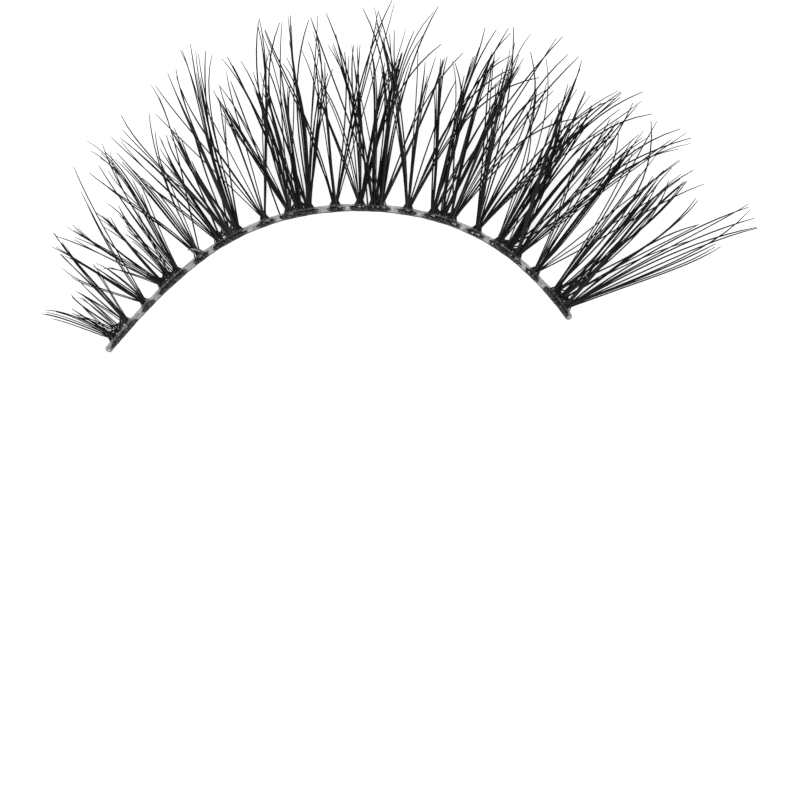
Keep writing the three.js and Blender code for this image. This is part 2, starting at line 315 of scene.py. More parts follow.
def discard(model: bpy.types.Object) -> None:
    """Deletes a model and its mesh once its copies are made.

    Args:
        model: the piece that was copied.
    """
    mesh = model.data
    bpy.data.objects.remove(model)
    bpy.data.meshes.remove(mesh)


def name_piece(piece: bpy.types.Object, name: str) -> None:
    """Gives a piece and its mesh the same name."""
    piece.name = name
    piece.data.name = name


def pick(mesh: bpy.types.Mesh, part: Part, wanted: Callable[[bpy.types.bpy_struct], bool]) -> None:
    """Selects, in edit mode, the parts of a mesh that pass a test.

    Args:
        mesh: the mesh that is being edited.
        part: whether its vertices, edges or faces are picked.
        wanted: the test.
    """
    bpy.ops.mesh.select_mode(type=part.value)
    bpy.ops.mesh.select_all(action="DESELECT")
    bpy.ops.object.mode_set(mode="OBJECT")
    for item in {Part.VERTEX: mesh.vertices, Part.EDGE: mesh.edges, Part.FACE: mesh.polygons}[part]:
        item.select = wanted(item)
    bpy.ops.object.mode_set(mode="EDIT")


def finish_piece(piece: bpy.types.Object, material: bpy.types.Material) -> None:
    """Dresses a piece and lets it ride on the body.

    Args:
        piece: the piece, with its place in its mesh.
        material: its finish.
    """
    piece.data.materials.clear()
    piece.data.materials.append(material)
    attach(piece, BODY)
    log.info("%s: %d faces", piece.name, len(piece.data.polygons))


@dataclass(frozen=True)
class LaidArc:
    """One arc of the band's centre line in plan, with the normal's heading at both its ends."""

    start: float
    end: float
    start_heading: float
    end_heading: float
    radius: float
    centre: np.ndarray

    def holds(self, point: np.ndarray) -> bool:
        """Whether a plan point lies in this arc's sector."""
        dx, dy = point - self.centre
        return abs(math.atan2(dx, dy)) <= abs(self.end_heading)


@dataclass
class BandLine:
    """The band's centre line, seen from above: a chain of arcs on either side of the origin.

    Attributes:
        width: the band's width.
        inner_arcs: the arcs towards the inner corner, as length and radius.
        outer_arcs: the arcs towards the outer corner.
        deep_roots: the share of the band, from its inner corner, on which the roots rise from deep in it.
        laid: the arcs of each side as they lie.
    """

    width: float = 0.46
    inner_arcs: tuple[tuple[float, float], ...] = ((3.7, 18.5), (7.0, 14.8), (4.4, 30.0), (3.2, 57.0))
    outer_arcs: tuple[tuple[float, float], ...] = ((4.3, 18.5), (7.0, 13.6), (3.9, 19.0))
    deep_roots: float = 0.25
    laid: dict[Side, list[LaidArc]] = field(default_factory=dict)

    def __post_init__(self) -> None:
        """Lays both sides."""
        self.laid = {
            Side.INNER: self.lay(self.inner_arcs, Side.INNER),
            Side.OUTER: self.lay(self.outer_arcs, Side.OUTER),
        }

    def lay(self, rows: tuple[tuple[float, float], ...], side: Side) -> list[LaidArc]:
        """Lays the arcs of one side, each from where the one before it ends.

        Args:
            rows: the arcs as length and radius, from the origin outwards.
            side: the side they lie on.

        Returns:
            The arcs in plan.
        """
        centre = np.array((0.0, -rows[0][1]))
        start, heading = 0.0, 0.0
        arcs: list[LaidArc] = []
        for i, (length, radius) in enumerate(rows):
            end = start + side.value * length
            end_heading = heading + (end - start) / radius
            arcs.append(LaidArc(start, end, heading, end_heading, radius, centre))
            next_radius = rows[i + 1][1] if i + 1 < len(rows) else radius
            centre = centre + along_heading(end_heading) * (radius - next_radius)
            start, heading = end, end_heading
        return arcs

    @property
    def inner_end(self) -> float:
        """The place of the inner-corner end along the band."""
        return self.laid[Side.INNER][-1].end

    @property
    def outer_end(self) -> float:
        """The place of the outer-corner end along the band."""
        return self.laid[Side.OUTER][-1].end

    def place(self, share: float) -> float:
        """The place along the band of a share of its length, from the inner corner."""
        return mix(self.inner_end, self.outer_end, share)

    def risen(self, along: float) -> float:
        """How far the roots have risen at a place along the band, from 0 at its inner corner to 1."""
        share = (along - self.inner_end) / (self.outer_end - self.inner_end)
        return smooth(share / self.deep_roots)

    def arc_at(self, along: float) -> LaidArc:
        """The arc that holds a place along the band."""
        arcs = self.laid[Side.INNER if along < 0 else Side.OUTER]
        return next((arc for arc in arcs if abs(along) <= abs(arc.end)), arcs[-1])

    def heading(self, along: float) -> float:
        """The heading of the band's outward normal at a place along it."""
        arc = self.arc_at(along)
        return arc.start_heading + (along - arc.start) / arc.radius

    def point(self, along: float, offset: float) -> np.ndarray:
        """A plan point beside the band's centre line, which runs on straight past both its ends.

        Args:
            along: the place along the band.
            offset: how far outwards from the centre line.

        Returns:
            The point.
        """
        held = min(max(along, self.inner_end), self.outer_end)
        arc, heading = self.arc_at(held), self.heading(held)
        beyond = across_heading(heading) * (along - held)
        return arc.centre + along_heading(heading) * (arc.radius + offset) + beyond

    def out_of(self, point: np.ndarray) -> float:
        """How far a plan point lies out from the band's outer edge.

        Args:
            point: the point.

        Returns:
            The distance.
        """
        arcs = self.laid[Side.INNER if point[0] < 0 else Side.OUTER]
        arc = next((arc for arc in arcs if arc.holds(point)), arcs[-1])
        return float(np.linalg.norm(point - arc.centre)) - arc.radius - self.width / 2


@dataclass(frozen=True)
class LashSheet:
    """The curled sheet that the lashes lie in.

    It sinks to its belly near the table and rises round the curl's radius. A lash that leans more to the
    inner corner lies over the others.

    Attributes:
        belly_height: the height of its lowest place.
        belly_out: how far out from the band's edge that place is.
        curl_radius: the radius of the curl.
        steepest_turn: the angle at which it stops curling and goes on straight.
        layer_height: how far apart the layers of two lashes get, for each radian between their leans.
        layer_run: how far out they are half that far apart.
        outermost_lean: the lean in degrees of the lowest layer.
    """

    belly_height: float = 0.08
    belly_out: float = 2.58
    curl_radius: float = 12.0
    steepest_turn: float = math.radians(72)
    layer_height: float = 2.2
    layer_run: float = 3.0
    outermost_lean: float = 24.0

    def height(self, out: float, lean: float) -> float:
        """The height of a lash.

        Args:
            out: how far out from the band's outer edge it is.
            lean: the lean of its lock in degrees.

        Returns:
            The height over the table.
        """
        run = out - self.belly_out
        turned = min(run, self.curl_radius * math.sin(self.steepest_turn))
        straight = (run - turned) * math.tan(self.steepest_turn)
        risen = self.curl_radius - math.sqrt(self.curl_radius**2 - turned**2)
        parted = math.radians(self.outermost_lean - lean)
        layer = self.layer_height * parted * out / (out + self.layer_run)
        return self.belly_height + risen + straight + layer


class Maths(Enum):
    """The two kinds of sum, each with its node's type."""

    NUMBER = "ShaderNodeMath"
    VECTOR = "ShaderNodeVectorMath"


class NodeBench:
    """Places and joins the nodes of one tree."""

    def __init__(self, tree: bpy.types.NodeTree) -> None:
        """Starts on an empty tree."""
        self.tree = tree
        tree.nodes.clear()

    def add(self, kind: str, inputs: dict[str, object] | None = None, **settings: object) -> bpy.types.Node:
        """Adds a node.

        Args:
            kind: the node's type.
            inputs: the values or the sources of its inputs by name.
            settings: its own settings.

        Returns:
            The node.
        """
        node = self.tree.nodes.new(kind)
        for name, value in settings.items():
            setattr(node, name, value)
        for name, value in (inputs or {}).items():
            self.feed(node.inputs[name], value)
        return node

    def feed(self, socket: bpy.types.NodeSocket, value: object) -> None:
        """Joins a source to an input, or sets its value.

        Args:
            socket: the input.
            value: the source or the value.
        """
        if isinstance(value, bpy.types.NodeSocket):
            self.tree.links.new(value, socket)
        else:
            socket.default_value = value

    def maths(self, operation: str, *terms: object, kind: Maths = Maths.NUMBER) -> bpy.types.NodeSocket:
        """Works out a sum.

        Args:
            operation: which sum.
            terms: the values or the sources that it takes.
            kind: whether they are numbers or vectors.

        Returns:
            The result.
        """
        node = self.add(kind.value, operation=operation)
        for socket, term in zip(node.inputs, terms):
            self.feed(socket, term)
        return node.outputs[0]

    def blend(self, factor: object, first: object, second: object) -> bpy.types.NodeSocket:
        """Blends two colours.

        Args:
            factor: how much of the second one is in it.
            first: one colour.
            second: the other colour.

        Returns:
            The blend.
        """
        inputs = {"Factor": factor, "A": first, "B": second}
        return self.add("ShaderNodeMix", inputs, data_type="RGBA").outputs["Result"]

    def surface(self, inputs: dict[str, object]) -> None:
        """Ends a material in its shader.

        Args:
            inputs: the values or the sources of the shader's inputs by name.
        """
        shader = self.add("ShaderNodeBsdfPrincipled", inputs)
        self.add("ShaderNodeOutputMaterial", {"Surface": shader.outputs[0]})


def new_group(
    name: str, values: tuple[str, ...], output: str
) -> tuple[bpy.types.ShaderNodeTree, NodeBench]:
    """Starts a shader node group that takes a place, called Vector, and some values.

    Args:
        name: its name.
        values: the names of the values that it takes.
        output: the name of its one result.

    Returns:
        The group and a bench on it.
    """
    group = bpy.data.node_groups.new(name, "ShaderNodeTree")
    group.interface.new_socket(name="Vector", in_out="INPUT", socket_type="NodeSocketVector")
    for value in values:
        group.interface.new_socket(name=value, in_out="INPUT", socket_type="NodeSocketFloat")
    group.interface.new_socket(name=output, in_out="OUTPUT", socket_type="NodeSocketFloat")
    return group, NodeBench(group)


@dataclass
class SharedEffects:
    """The effects that more than one finish uses, each a group made once.

    Attributes:
        noise_range: the noise's values that are drawn out to a group's lowest and highest value.
        made: the groups made so far, by name.
    """

    noise_range: tuple[float, float] = (0.3, 0.7)
    made: dict[str, bpy.types.ShaderNodeTree] = field(default_factory=dict)

    def streaks(self) -> bpy.types.ShaderNodeTree:
        """Fine streaks that run along a strand.

        Returns:
            The group. It takes a strand's own map, how often the streaks change round and along it, and
            their lowest and highest value.
        """
        if "streaks" not in self.made:
            group, bench = new_group("strand_streaks", ("Round", "Along", "Low", "High"), "Streak")
            given = bench.add("NodeGroupInput").outputs
            scale = bench.add("ShaderNodeCombineXYZ", {"X": given["Round"], "Y": given["Along"], "Z": 1.0})
            stretched = bench.maths("MULTIPLY", given["Vector"], scale.outputs[0], kind=Maths.VECTOR)
            noise = {"Vector": stretched, "Scale": 1.0, "Detail": 3.0}
            bench.add("NodeGroupOutput", {"Streak": self.drawn_out(bench, noise, given)})
            self.made["streaks"] = group
        return self.made["streaks"]

    def mottle(self) -> bpy.types.ShaderNodeTree:
        """Soft clouds of light and dark.

        Returns:
            The group. It takes a place, the clouds' scale, and their lowest and highest value.
        """
        if "mottle" not in self.made:
            group, bench = new_group("soft_mottle", ("Scale", "Low", "High"), "Mottle")
            given = bench.add("NodeGroupInput").outputs
            noise = {"Vector": given["Vector"], "Scale": given["Scale"], "Detail": 4.0, "Roughness": 0.6}
            bench.add("NodeGroupOutput", {"Mottle": self.drawn_out(bench, noise, given)})
            self.made["mottle"] = group
        return self.made["mottle"]

    def clouds(
        self, bench: NodeBench, scale: float, low: float = 0.0, high: float = 1.0
    ) -> bpy.types.NodeSocket:
        """Places the mottle in a material, where it stays fixed to the piece.

        Args:
            bench: the material's bench.
            scale: the clouds' scale.
            low: their lowest value.
            high: their highest value.

        Returns:
            The clouds.
        """
        place = bench.add("ShaderNodeTexCoord").outputs["Object"]
        inputs = {"Vector": place, "Scale": scale, "Low": low, "High": high}
        return bench.add("ShaderNodeGroup", inputs, node_tree=self.mottle()).outputs["Mottle"]

    def drawn_out(
        self, bench: NodeBench, noise: dict[str, object], given: bpy.types.bpy_prop_collection
    ) -> bpy.types.NodeSocket:
        """Makes a noise and draws it out to reach from a group's lowest to its highest value.

        Args:
            bench: the group's bench.
            noise: the inputs of the noise.
            given: the inputs of the group.

        Returns:
            The noise, drawn out.
        """
        low, high = self.noise_range
        value = bench.add("ShaderNodeTexNoise", noise).outputs["Fac"]
        ranges = {"From Min": low, "From Max": high, "To Min": given["Low"], "To Max": given["High"]}
        return bench.add("ShaderNodeMapRange", {"Value": value, **ranges}).outputs["Result"]


def new_material(name: str) -> tuple[bpy.types.Material, NodeBench]:
    """Starts a node material.

    Args:
        name: its name.

    Returns:
        The material and a bench on it.
    """
    material = bpy.data.materials.new(name)
    material.use_nodes = True
    return material, NodeBench(material.node_tree)


@dataclass(frozen=True)
class StrandFinish:
    """Black synthetic fibre: near black, a shade different from hair to hair, with fine streaks along it.
    On the lashes, the lighter hairs and the streaks are partly painted sheen, for the grey shine on dense
    locks.

    Attributes:
        name: the material's name.
        dark: the darkest hair's colour.
        light: the lightest hair's colour. On the lashes it is partly a painted sheen.
        roughness: its lowest and highest roughness.
        specular: the strength of its sheen.
        coat: the strength of a clear coat on it, as of glue.
        coat_roughness: how rough the coat is.
        bump: the strength of the streaks' relief.
        bump_depth: the depth of that relief.
        streaky: the streaks' share in the colour, which on the lashes is partly painted sheen. The hair's
            own shade has the rest.
        streaks_round: how often the streaks change round the hair.
        streaks_along: how often they change along it.
        apart: how far apart in the noise the lightest and the darkest hair lie.
        mostly_dark: the power that keeps most hairs near the dark colour.
        flecks: how strong pale flecks get, partly dried glue and partly painted glints.
        glue_and_glint_fleck_colour: their colour.
        fleck_scale: the scale of their noise.
        fleck_range: their strength at the noise's lowest and highest. Where it is under 0, none show.
    """

    name: str
    dark: tuple[float, float, float, float]
    light: tuple[float, float, float, float]
    roughness: tuple[float, float]
    specular: float
    coat: float = 0.0
    coat_roughness: float = 0.2
    bump: float = 0.3
    bump_depth: float = 0.01
    streaky: float = 0.2
    streaks_round: float = 9.0
    streaks_along: float = 6.0
    apart: float = 40.0
    mostly_dark: float = 2.0
    flecks: float = 0.0
    glue_and_glint_fleck_colour: tuple[float, float, float, float] = (0.32, 0.325, 0.33, 1.0)
    fleck_scale: float = 8000.0
    fleck_range: tuple[float, float] = (-2.8, 1.6)

    def material(self, effects: SharedEffects) -> bpy.types.Material:
        """Makes the finish.

        Args:
            effects: the shared groups.

        Returns:
            The material.
        """
        material, bench = new_material(self.name)
        uv = bench.add("ShaderNodeUVMap", uv_map="strand").outputs["UV"]
        tone = bench.add("ShaderNodeAttribute", attribute_name="tone").outputs["Fac"]
        apart = bench.add("ShaderNodeCombineXYZ", {"Z": bench.maths("MULTIPLY", tone, self.apart)})
        place = bench.maths("ADD", uv, apart.outputs[0], kind=Maths.VECTOR)
        changes = {"Round": self.streaks_round, "Along": self.streaks_along, "Low": 0.0, "High": 1.0}
        streaks = bench.add("ShaderNodeGroup", {"Vector": place, **changes}, node_tree=effects.streaks())
        streak = streaks.outputs["Streak"]
        # Own tone and streaks blend from dark to light; on the lashes the lighter end is partly painted
        # sheen.
        own = bench.maths("MULTIPLY", bench.maths("POWER", tone, self.mostly_dark), 1.0 - self.streaky)
        colour = bench.blend(bench.maths("MULTIPLY_ADD", streak, self.streaky, own), self.dark, self.light)
        if self.flecks > 0.0:
            colour = self.flecked(bench, effects, colour)
        smoothest, roughest = self.roughness
        rough = bench.add("ShaderNodeMapRange", {"Value": streak, "To Min": smoothest, "To Max": roughest})
        relief = {"Height": streak, "Strength": self.bump, "Distance": self.bump_depth * MM}
        bench.surface(
            {
                "Base Color": colour,
                "Roughness": rough.outputs["Result"],
                "Specular IOR Level": self.specular,
                "Coat Weight": self.coat,
                "Coat Roughness": self.coat_roughness,
                "Normal": bench.add("ShaderNodeBump", relief).outputs["Normal"],
            }
        )
        return material

    def flecked(
        self, bench: NodeBench, effects: SharedEffects, colour: bpy.types.NodeSocket
    ) -> bpy.types.NodeSocket:
        """Lays pale flecks over a colour: partly dried glue, partly painted glints.

        Args:
            bench: the material's bench.
            effects: the shared groups.
            colour: the colour under them.

        Returns:
            The flecked colour.
        """
        flecks = effects.clouds(bench, self.fleck_scale, *self.fleck_range)
        held = bench.add("ShaderNodeClamp", {"Value": flecks, "Min": 0.0, "Max": self.flecks})
        return bench.blend(held.outputs[0], colour, self.glue_and_glint_fleck_colour)


@dataclass(frozen=True)
class ClearBandFinish:
    """Clear, slightly milky band with soft clouds in it, darker over the roots and at its inner edge.

    Attributes:
        name: the material's name.
        cloudy: its colour in the clouds.
        clear: its colour between them.
        shaded: its colour over the roots and at its inner edge.
        transmission: how much light it lets through.
        ior: how strongly it bends that light.
        cloud_scale: the scale of the clouds.
        root_shade: how strong the shade right over the roots is, from 0 to 1.
        inner_edge: where the inner edge's shade starts and is full, as shares of half the band's width.
        roughness: its roughness in the clouds and between them.
        bump: the strength of its relief.
        bump_depth: the depth of that relief.
    """

    name: str = "milky_clear_band"
    cloudy: tuple[float, float, float, float] = (0.24, 0.244, 0.248, 1.0)
    clear: tuple[float, float, float, float] = (0.9, 0.9, 0.9, 1.0)
    shaded: tuple[float, float, float, float] = (0.06, 0.061, 0.062, 1.0)
    transmission: float = 0.6
    ior: float = 1.4
    cloud_scale: float = 4000.0
    root_shade: float = 0.62
    inner_edge: tuple[float, float] = (-0.62, -0.92)
    roughness: tuple[float, float] = (0.42, 0.22)
    bump: float = 0.5
    bump_depth: float = 0.02

    def material(self, effects: SharedEffects) -> bpy.types.Material:
        """Makes the finish.

        Args:
            effects: the shared groups.

        Returns:
            The material.
        """
        material, bench = new_material(self.name)
        clouds = effects.clouds(bench, self.cloud_scale)
        across = bench.add("ShaderNodeAttribute", attribute_name="across").outputs["Fac"]
        rooted = bench.add("ShaderNodeAttribute", attribute_name="rooted").outputs["Fac"]
        starts, full = self.inner_edge
        at_edge = bench.add("ShaderNodeMapRange", {"Value": across, "From Min": starts, "From Max": full})
        milky = bench.blend(clouds, self.cloudy, self.clear)
        over_roots = bench.blend(bench.maths("MULTIPLY", rooted, self.root_shade), milky, self.shaded)
        in_clouds, between = self.roughness
        rough = bench.add("ShaderNodeMapRange", {"Value": clouds, "To Min": in_clouds, "To Max": between})
        relief = {"Height": clouds, "Strength": self.bump, "Distance": self.bump_depth * MM}
        bench.surface(
            {
                "Base Color": bench.blend(at_edge.outputs["Result"], over_roots, self.shaded),
                "Roughness": rough.outputs["Result"],
                "IOR": self.ior,
                "Transmission Weight": self.transmission,
                "Normal": bench.add("ShaderNodeBump", relief).outputs["Normal"],
            }
        )
        return material


@dataclass(frozen=True)
class PaleFloorFinish:
    """Plain white matt floor that glows a little, so that hardly a shadow shows.

    Attributes:
        name: the material's name.
        plain: its colour between the clouds.
        clouded: its colour in the clouds.
        cloud_scale: the scale of the clouds.
        roughness: its roughness.
        specular: the strength of its sheen.
        glow_colour: the colour of its glow.
        glow: the strength of its glow.
    """

    name: str = "pale_floor"
    plain: tuple[float, float, float, float] = (0.6, 0.6, 0.6, 1.0)
    clouded: tuple[float, float, float, float] = (0.61, 0.61, 0.61, 1.0)
    cloud_scale: float = 4.0
    roughness: float = 0.9
    specular: float = 0.1
    glow_colour: tuple[float, float, float, float] = (1.0, 1.0, 1.0, 1.0)
    glow: float = 0.82

    def material(self, effects: SharedEffects) -> bpy.types.Material:
        """Makes the finish.

        Args:
            effects: the shared groups.

        Returns:
            The material.
        """
        material, bench = new_material(self.name)
        clouds = effects.clouds(bench, self.cloud_scale)
        bench.surface(
            {
                "Base Color": bench.blend(clouds, self.plain, self.clouded),
                "Roughness": self.roughness,
                "Specular IOR Level": self.specular,
                "Emission Color": self.glow_colour,
                "Emission Strength": self.glow,
            }
        )
        return material


class StrandShape(Enum):
    """The two shapes of strand: a lash, which thins to a fine tip, and a thread, which doesn't."""

    LASH = "lash"
    THREAD = "thread"


@dataclass
class StrandMaster:
    """One strand, modelled upright at unit size, and copied along a route for each hair and thread.

    Attributes:
        shape: whether it thins to a tip.
        sides: the count of its sides.
        rings: the count of its rings, which is the count of points that a route has.
        tip: the width of a lash's tip as a share of its width.
        slim: its width at the place where it starts to thin.
        thins_from: that place, as a share of its length.
        blunt: the length of a thread's blunt ends, as a share of its length.
        blunt_width: their width, as a share of its width.
        model: the strand itself.
    """

    shape: StrandShape
    sides: int = 5
    rings: int = 16
    tip: float = 0.45
    slim: float = 0.86
    thins_from: float = 0.9
    blunt: float = 0.04
    blunt_width: float = 0.6
    model: bpy.types.Object | None = None

    def width_at(self, share: float) -> float:
        """The strand's width.

        Args:
            share: the place along it, as a share of its length.

        Returns:
            The width there, as a share of its full width.
        """
        if self.shape is StrandShape.THREAD:
            return 1.0 if self.blunt < share < 1.0 - self.blunt else self.blunt_width
        if share < self.thins_from:
            return mix(1.0, self.slim, share / self.thins_from)
        return mix(self.slim, self.tip, (share - self.thins_from) / (1.0 - self.thins_from))

    def build(self) -> None:
        """Models the strand: a filled ring that is extruded upwards and drawn in ring by ring."""
        deselect()
        step = 1.0 / (self.rings - 1)
        start = self.width_at(0.0)
        bpy.ops.mesh.primitive_circle_add(vertices=self.sides, radius=start, fill_type="NGON")
        strand = bpy.context.object
        strand.name = f"{self.shape.value}_master"
        bpy.ops.object.mode_set(mode="EDIT")
        bpy.ops.mesh.select_all(action="SELECT")
        width = start
        for ring in range(1, self.rings):
            bpy.ops.mesh.extrude_region_move(TRANSFORM_OT_translate={"value": (0.0, 0.0, step)})
            factor = self.width_at(ring * step) / width
            bpy.ops.transform.resize(value=(factor, factor, 1.0), center_override=(0.0, 0.0, ring * step))
            width *= factor
        bpy.ops.mesh.select_all(action="SELECT")
        bpy.ops.mesh.normals_make_consistent(inside=False)
        bpy.ops.object.mode_set(mode="OBJECT")
        bpy.ops.object.shade_smooth()
        self.map_strand(strand.data)
        strand.data.attributes.new("tone", "FLOAT", "POINT")
        self.model = strand

    def map_strand(self, mesh: bpy.types.Mesh) -> None:
        """Gives the strand its own map: U runs round it and V along it.

        Args:
            mesh: its mesh.
        """
        layer = mesh.uv_layers.new(name="strand")
        for polygon in mesh.polygons:
            rounds = []
            for loop in polygon.loop_indices:
                x, y, _ = mesh.vertices[mesh.loops[loop].vertex_index].co
                rounds.append(math.atan2(y, x) / math.tau % 1.0)
            if max(rounds) - min(rounds) > 0.5:
                rounds = [value + 1.0 if value < 0.5 else value for value in rounds]
            for loop, value in zip(polygon.loop_indices, rounds):
                height = mesh.vertices[mesh.loops[loop].vertex_index].co.z
                layer.data[loop].uv = (value, height)

    def lay(self, route: np.ndarray, width: float, tone: float) -> bpy.types.Object:
        """Copies the strand along a route.

        Args:
            route: a point for each ring, in millimetres.
            width: the strand's full width.
            tone: how light its colour is, from 0 to 1.

        Returns:
            The copy, with its own mesh.
        """
        copy = copy_of(self.model)
        forwards = np.gradient(route, axis=0)
        forwards /= np.linalg.norm(forwards, axis=1, keepdims=True)
        sideways = np.cross(forwards, (0.0, 0.0, 1.0))
        sideways /= np.linalg.norm(sideways, axis=1, keepdims=True)
        upwards = np.cross(sideways, forwards)
        upright = read_points(copy.data)
        ring = np.rint(upright[:, 2] * (self.rings - 1)).astype(int)
        points = (
            route[ring]
            + sideways[ring] * upright[:, :1] * (width / 2)
            + upwards[ring] * upright[:, 1:2] * (width / 2)
        )
        write_points(copy.data, points * MM)
        copy.data.attributes["tone"].data.foreach_set("value", np.full(len(points), tone))
        return copy

    def clear(self) -> None:
        """Deletes the master once its copies are made."""
        discard(self.model)
        self.model = None


def join_strands(name: str, strands: list[bpy.types.Object]) -> bpy.types.Object:
    """Joins strands into one piece.

    Args:
        name: the piece's name.
        strands: its strands.

    Returns:
        The piece.
    """
    take(*strands)
    bpy.ops.object.join()
    piece = bpy.context.object
    name_piece(piece, name)
    return piece


class Ripple(NamedTuple):
    """A small wave along the band: its depth as a share, its radians a millimetre and where it starts."""

    depth: float
    pitch: float
    phase: float


def rippled(ripples: tuple[Ripple, ...], place: float) -> float:
    """The factor that some ripples make up at a place along the band."""
    return 1.0 + sum(ripple.depth * math.sin(ripple.pitch * place + ripple.phase) for ripple in ripples)


@dataclass
class ClearBand:
    """The clear band: a flat ribbon with round ends, and a bead along its outer edge over the hairs.

    Attributes:
        line: the band's centre line.
        thickness: the thickness of the ribbon.
        bead_width: the width of the bead.
        bead_rise: how far it stands over the ribbon.
        end_round: the radius of the ribbon's corners as a share of its width.
        end_segments: the count of segments in each of them.
        edge: the radius of its softened edges.
        edge_segments: the count of segments in each of them.
        sharp_from: the angle in degrees from which an edge is softened.
        smooth_to: the angle in degrees up to which faces are shaded as one.
        step: how far apart it is cut across.
        upright_within: how far apart in plan the ends of an upright edge may be.
        level_from: the upward part of its normal from which a face counts as level.
        width_ripples: the waves in its width.
        height_ripples: the waves in its height.
        root_reach: how far along the band from a tuft its roots show.
        root_fade: the length over which they fade.
        deep_shade: how strong the shade over the deepest roots is, of 1 over risen ones.
    """

    line: BandLine
    thickness: float = 0.2
    bead_width: float = 0.11
    bead_rise: float = 0.19
    end_round: float = 0.49
    end_segments: int = 6
    edge: float = 0.045
    edge_segments: int = 3
    sharp_from: float = 35.0
    smooth_to: float = 50.0
    step: float = 0.1
    upright_within: float = 0.01
    level_from: float = 0.9
    width_ripples: tuple[Ripple, ...] = (Ripple(0.03, 2.9, 0.0), Ripple(0.02, 7.3, 1.0))
    height_ripples: tuple[Ripple, ...] = (Ripple(0.04, 4.1, 0.6),)
    root_reach: float = 0.48
    root_fade: float = 0.2
    deep_shade: float = 0.3

    def build(self, material: bpy.types.Material) -> bpy.types.Object:
        """Models the ribbon straight, lays it along the band's line and dresses it.

        Args:
            material: its finish.

        Returns:
            The piece.
        """
        ribbon = self.straight_ribbon()
        self.lay(ribbon.data)
        name_piece(ribbon, "clear_band")
        finish_piece(ribbon, material)
        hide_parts("band")
        return ribbon

    def straight_ribbon(self) -> bpy.types.Object:
        """Models the ribbon straight: a bar with round ends and a raised outer edge, cut across all along.

        Returns:
            The ribbon, with X along it and Y out.
        """
        width = self.line.width
        start, end = self.line.inner_end - width / 2, self.line.outer_end + width / 2
        bead_from = width / 2 - self.bead_width
        deselect()
        bpy.ops.mesh.primitive_cube_add(
            size=1.0,
            location=((start + end) / 2, 0.0, self.thickness / 2),
            scale=(end - start, width, self.thickness),
        )
        bar = bpy.context.object
        bpy.ops.object.transform_apply(location=True, rotation=True, scale=True)
        mesh = bar.data
        bpy.ops.object.mode_set(mode="EDIT")
        pick(mesh, Part.EDGE, lambda edge: self.is_upright(mesh, edge))
        bpy.ops.mesh.bevel(affect="EDGES", offset=width * self.end_round, segments=self.end_segments)
        self.cut(bead_from, (0.0, 1.0, 0.0))
        pick(mesh, Part.FACE, lambda face: face.normal.z > self.level_from and face.center.y > bead_from)
        bpy.ops.mesh.extrude_region_move(TRANSFORM_OT_translate={"value": (0.0, 0.0, self.bead_rise)})
        bpy.ops.object.mode_set(mode="OBJECT")
        soften = bar.modifiers.new("soft_edges", "BEVEL")
        soften.width = self.edge
        soften.segments = self.edge_segments
        soften.limit_method = "ANGLE"
        soften.angle_limit = math.radians(self.sharp_from)
        take(bar)
        bpy.ops.object.modifier_apply(modifier=soften.name)
        bpy.ops.object.mode_set(mode="EDIT")
        for place in np.arange(start + width, end - width, self.step):
            self.cut(float(place), (1.0, 0.0, 0.0))
        bpy.ops.mesh.select_all(action="SELECT")
        bpy.ops.mesh.quads_convert_to_tris()
        bpy.ops.mesh.tris_convert_to_quads()
        bpy.ops.mesh.normals_make_consistent(inside=False)
        bpy.ops.object.mode_set(mode="OBJECT")
        bpy.ops.object.shade_smooth_by_angle(angle=math.radians(self.smooth_to))
        return bar

    def cut(self, place: float, normal: tuple[float, float, float]) -> None:
        """Cuts the whole bar along a plane at a place on the normal's axis."""
        bpy.ops.mesh.select_all(action="SELECT")
        bpy.ops.mesh.bisect(plane_co=tuple(place * part for part in normal), plane_no=normal)

    def is_upright(self, mesh: bpy.types.Mesh, edge: bpy.types.MeshEdge) -> bool:
        """Whether an edge of the bar stands upright."""
        first, second = (mesh.vertices[i].co for i in edge.vertices)
        return max(abs(first.x - second.x), abs(first.y - second.y)) < self.upright_within

    def lay(self, mesh: bpy.types.Mesh) -> None:
        """Bends the straight ribbon to the band's line, with ripples in its width and height.

        Args:
            mesh: the ribbon's mesh.
        """
        straight = read_points(mesh)
        places = np.array([self.line.place(row.at) for row in TUFTS])
        shades = np.array([mix(self.deep_shade, 1.0, self.line.risen(place)) for place in places])
        near = np.clip((self.root_reach - np.abs(straight[:, :1] - places)) / self.root_fade, 0.0, 1.0)
        rooted = (near * shades).max(axis=1)
        for name, values in (("across", straight[:, 1] / (self.line.width / 2)), ("rooted", rooted)):
            mesh.attributes.new(name, "FLOAT", "POINT").data.foreach_set("value", values)
        bent = np.empty_like(straight)
        for i, (x, y, z) in enumerate(straight):
            plan = self.line.point(x, y * rippled(self.width_ripples, x))
            bent[i] = (*plan, z * rippled(self.height_ripples, x))
        write_points(mesh, bent * MM)


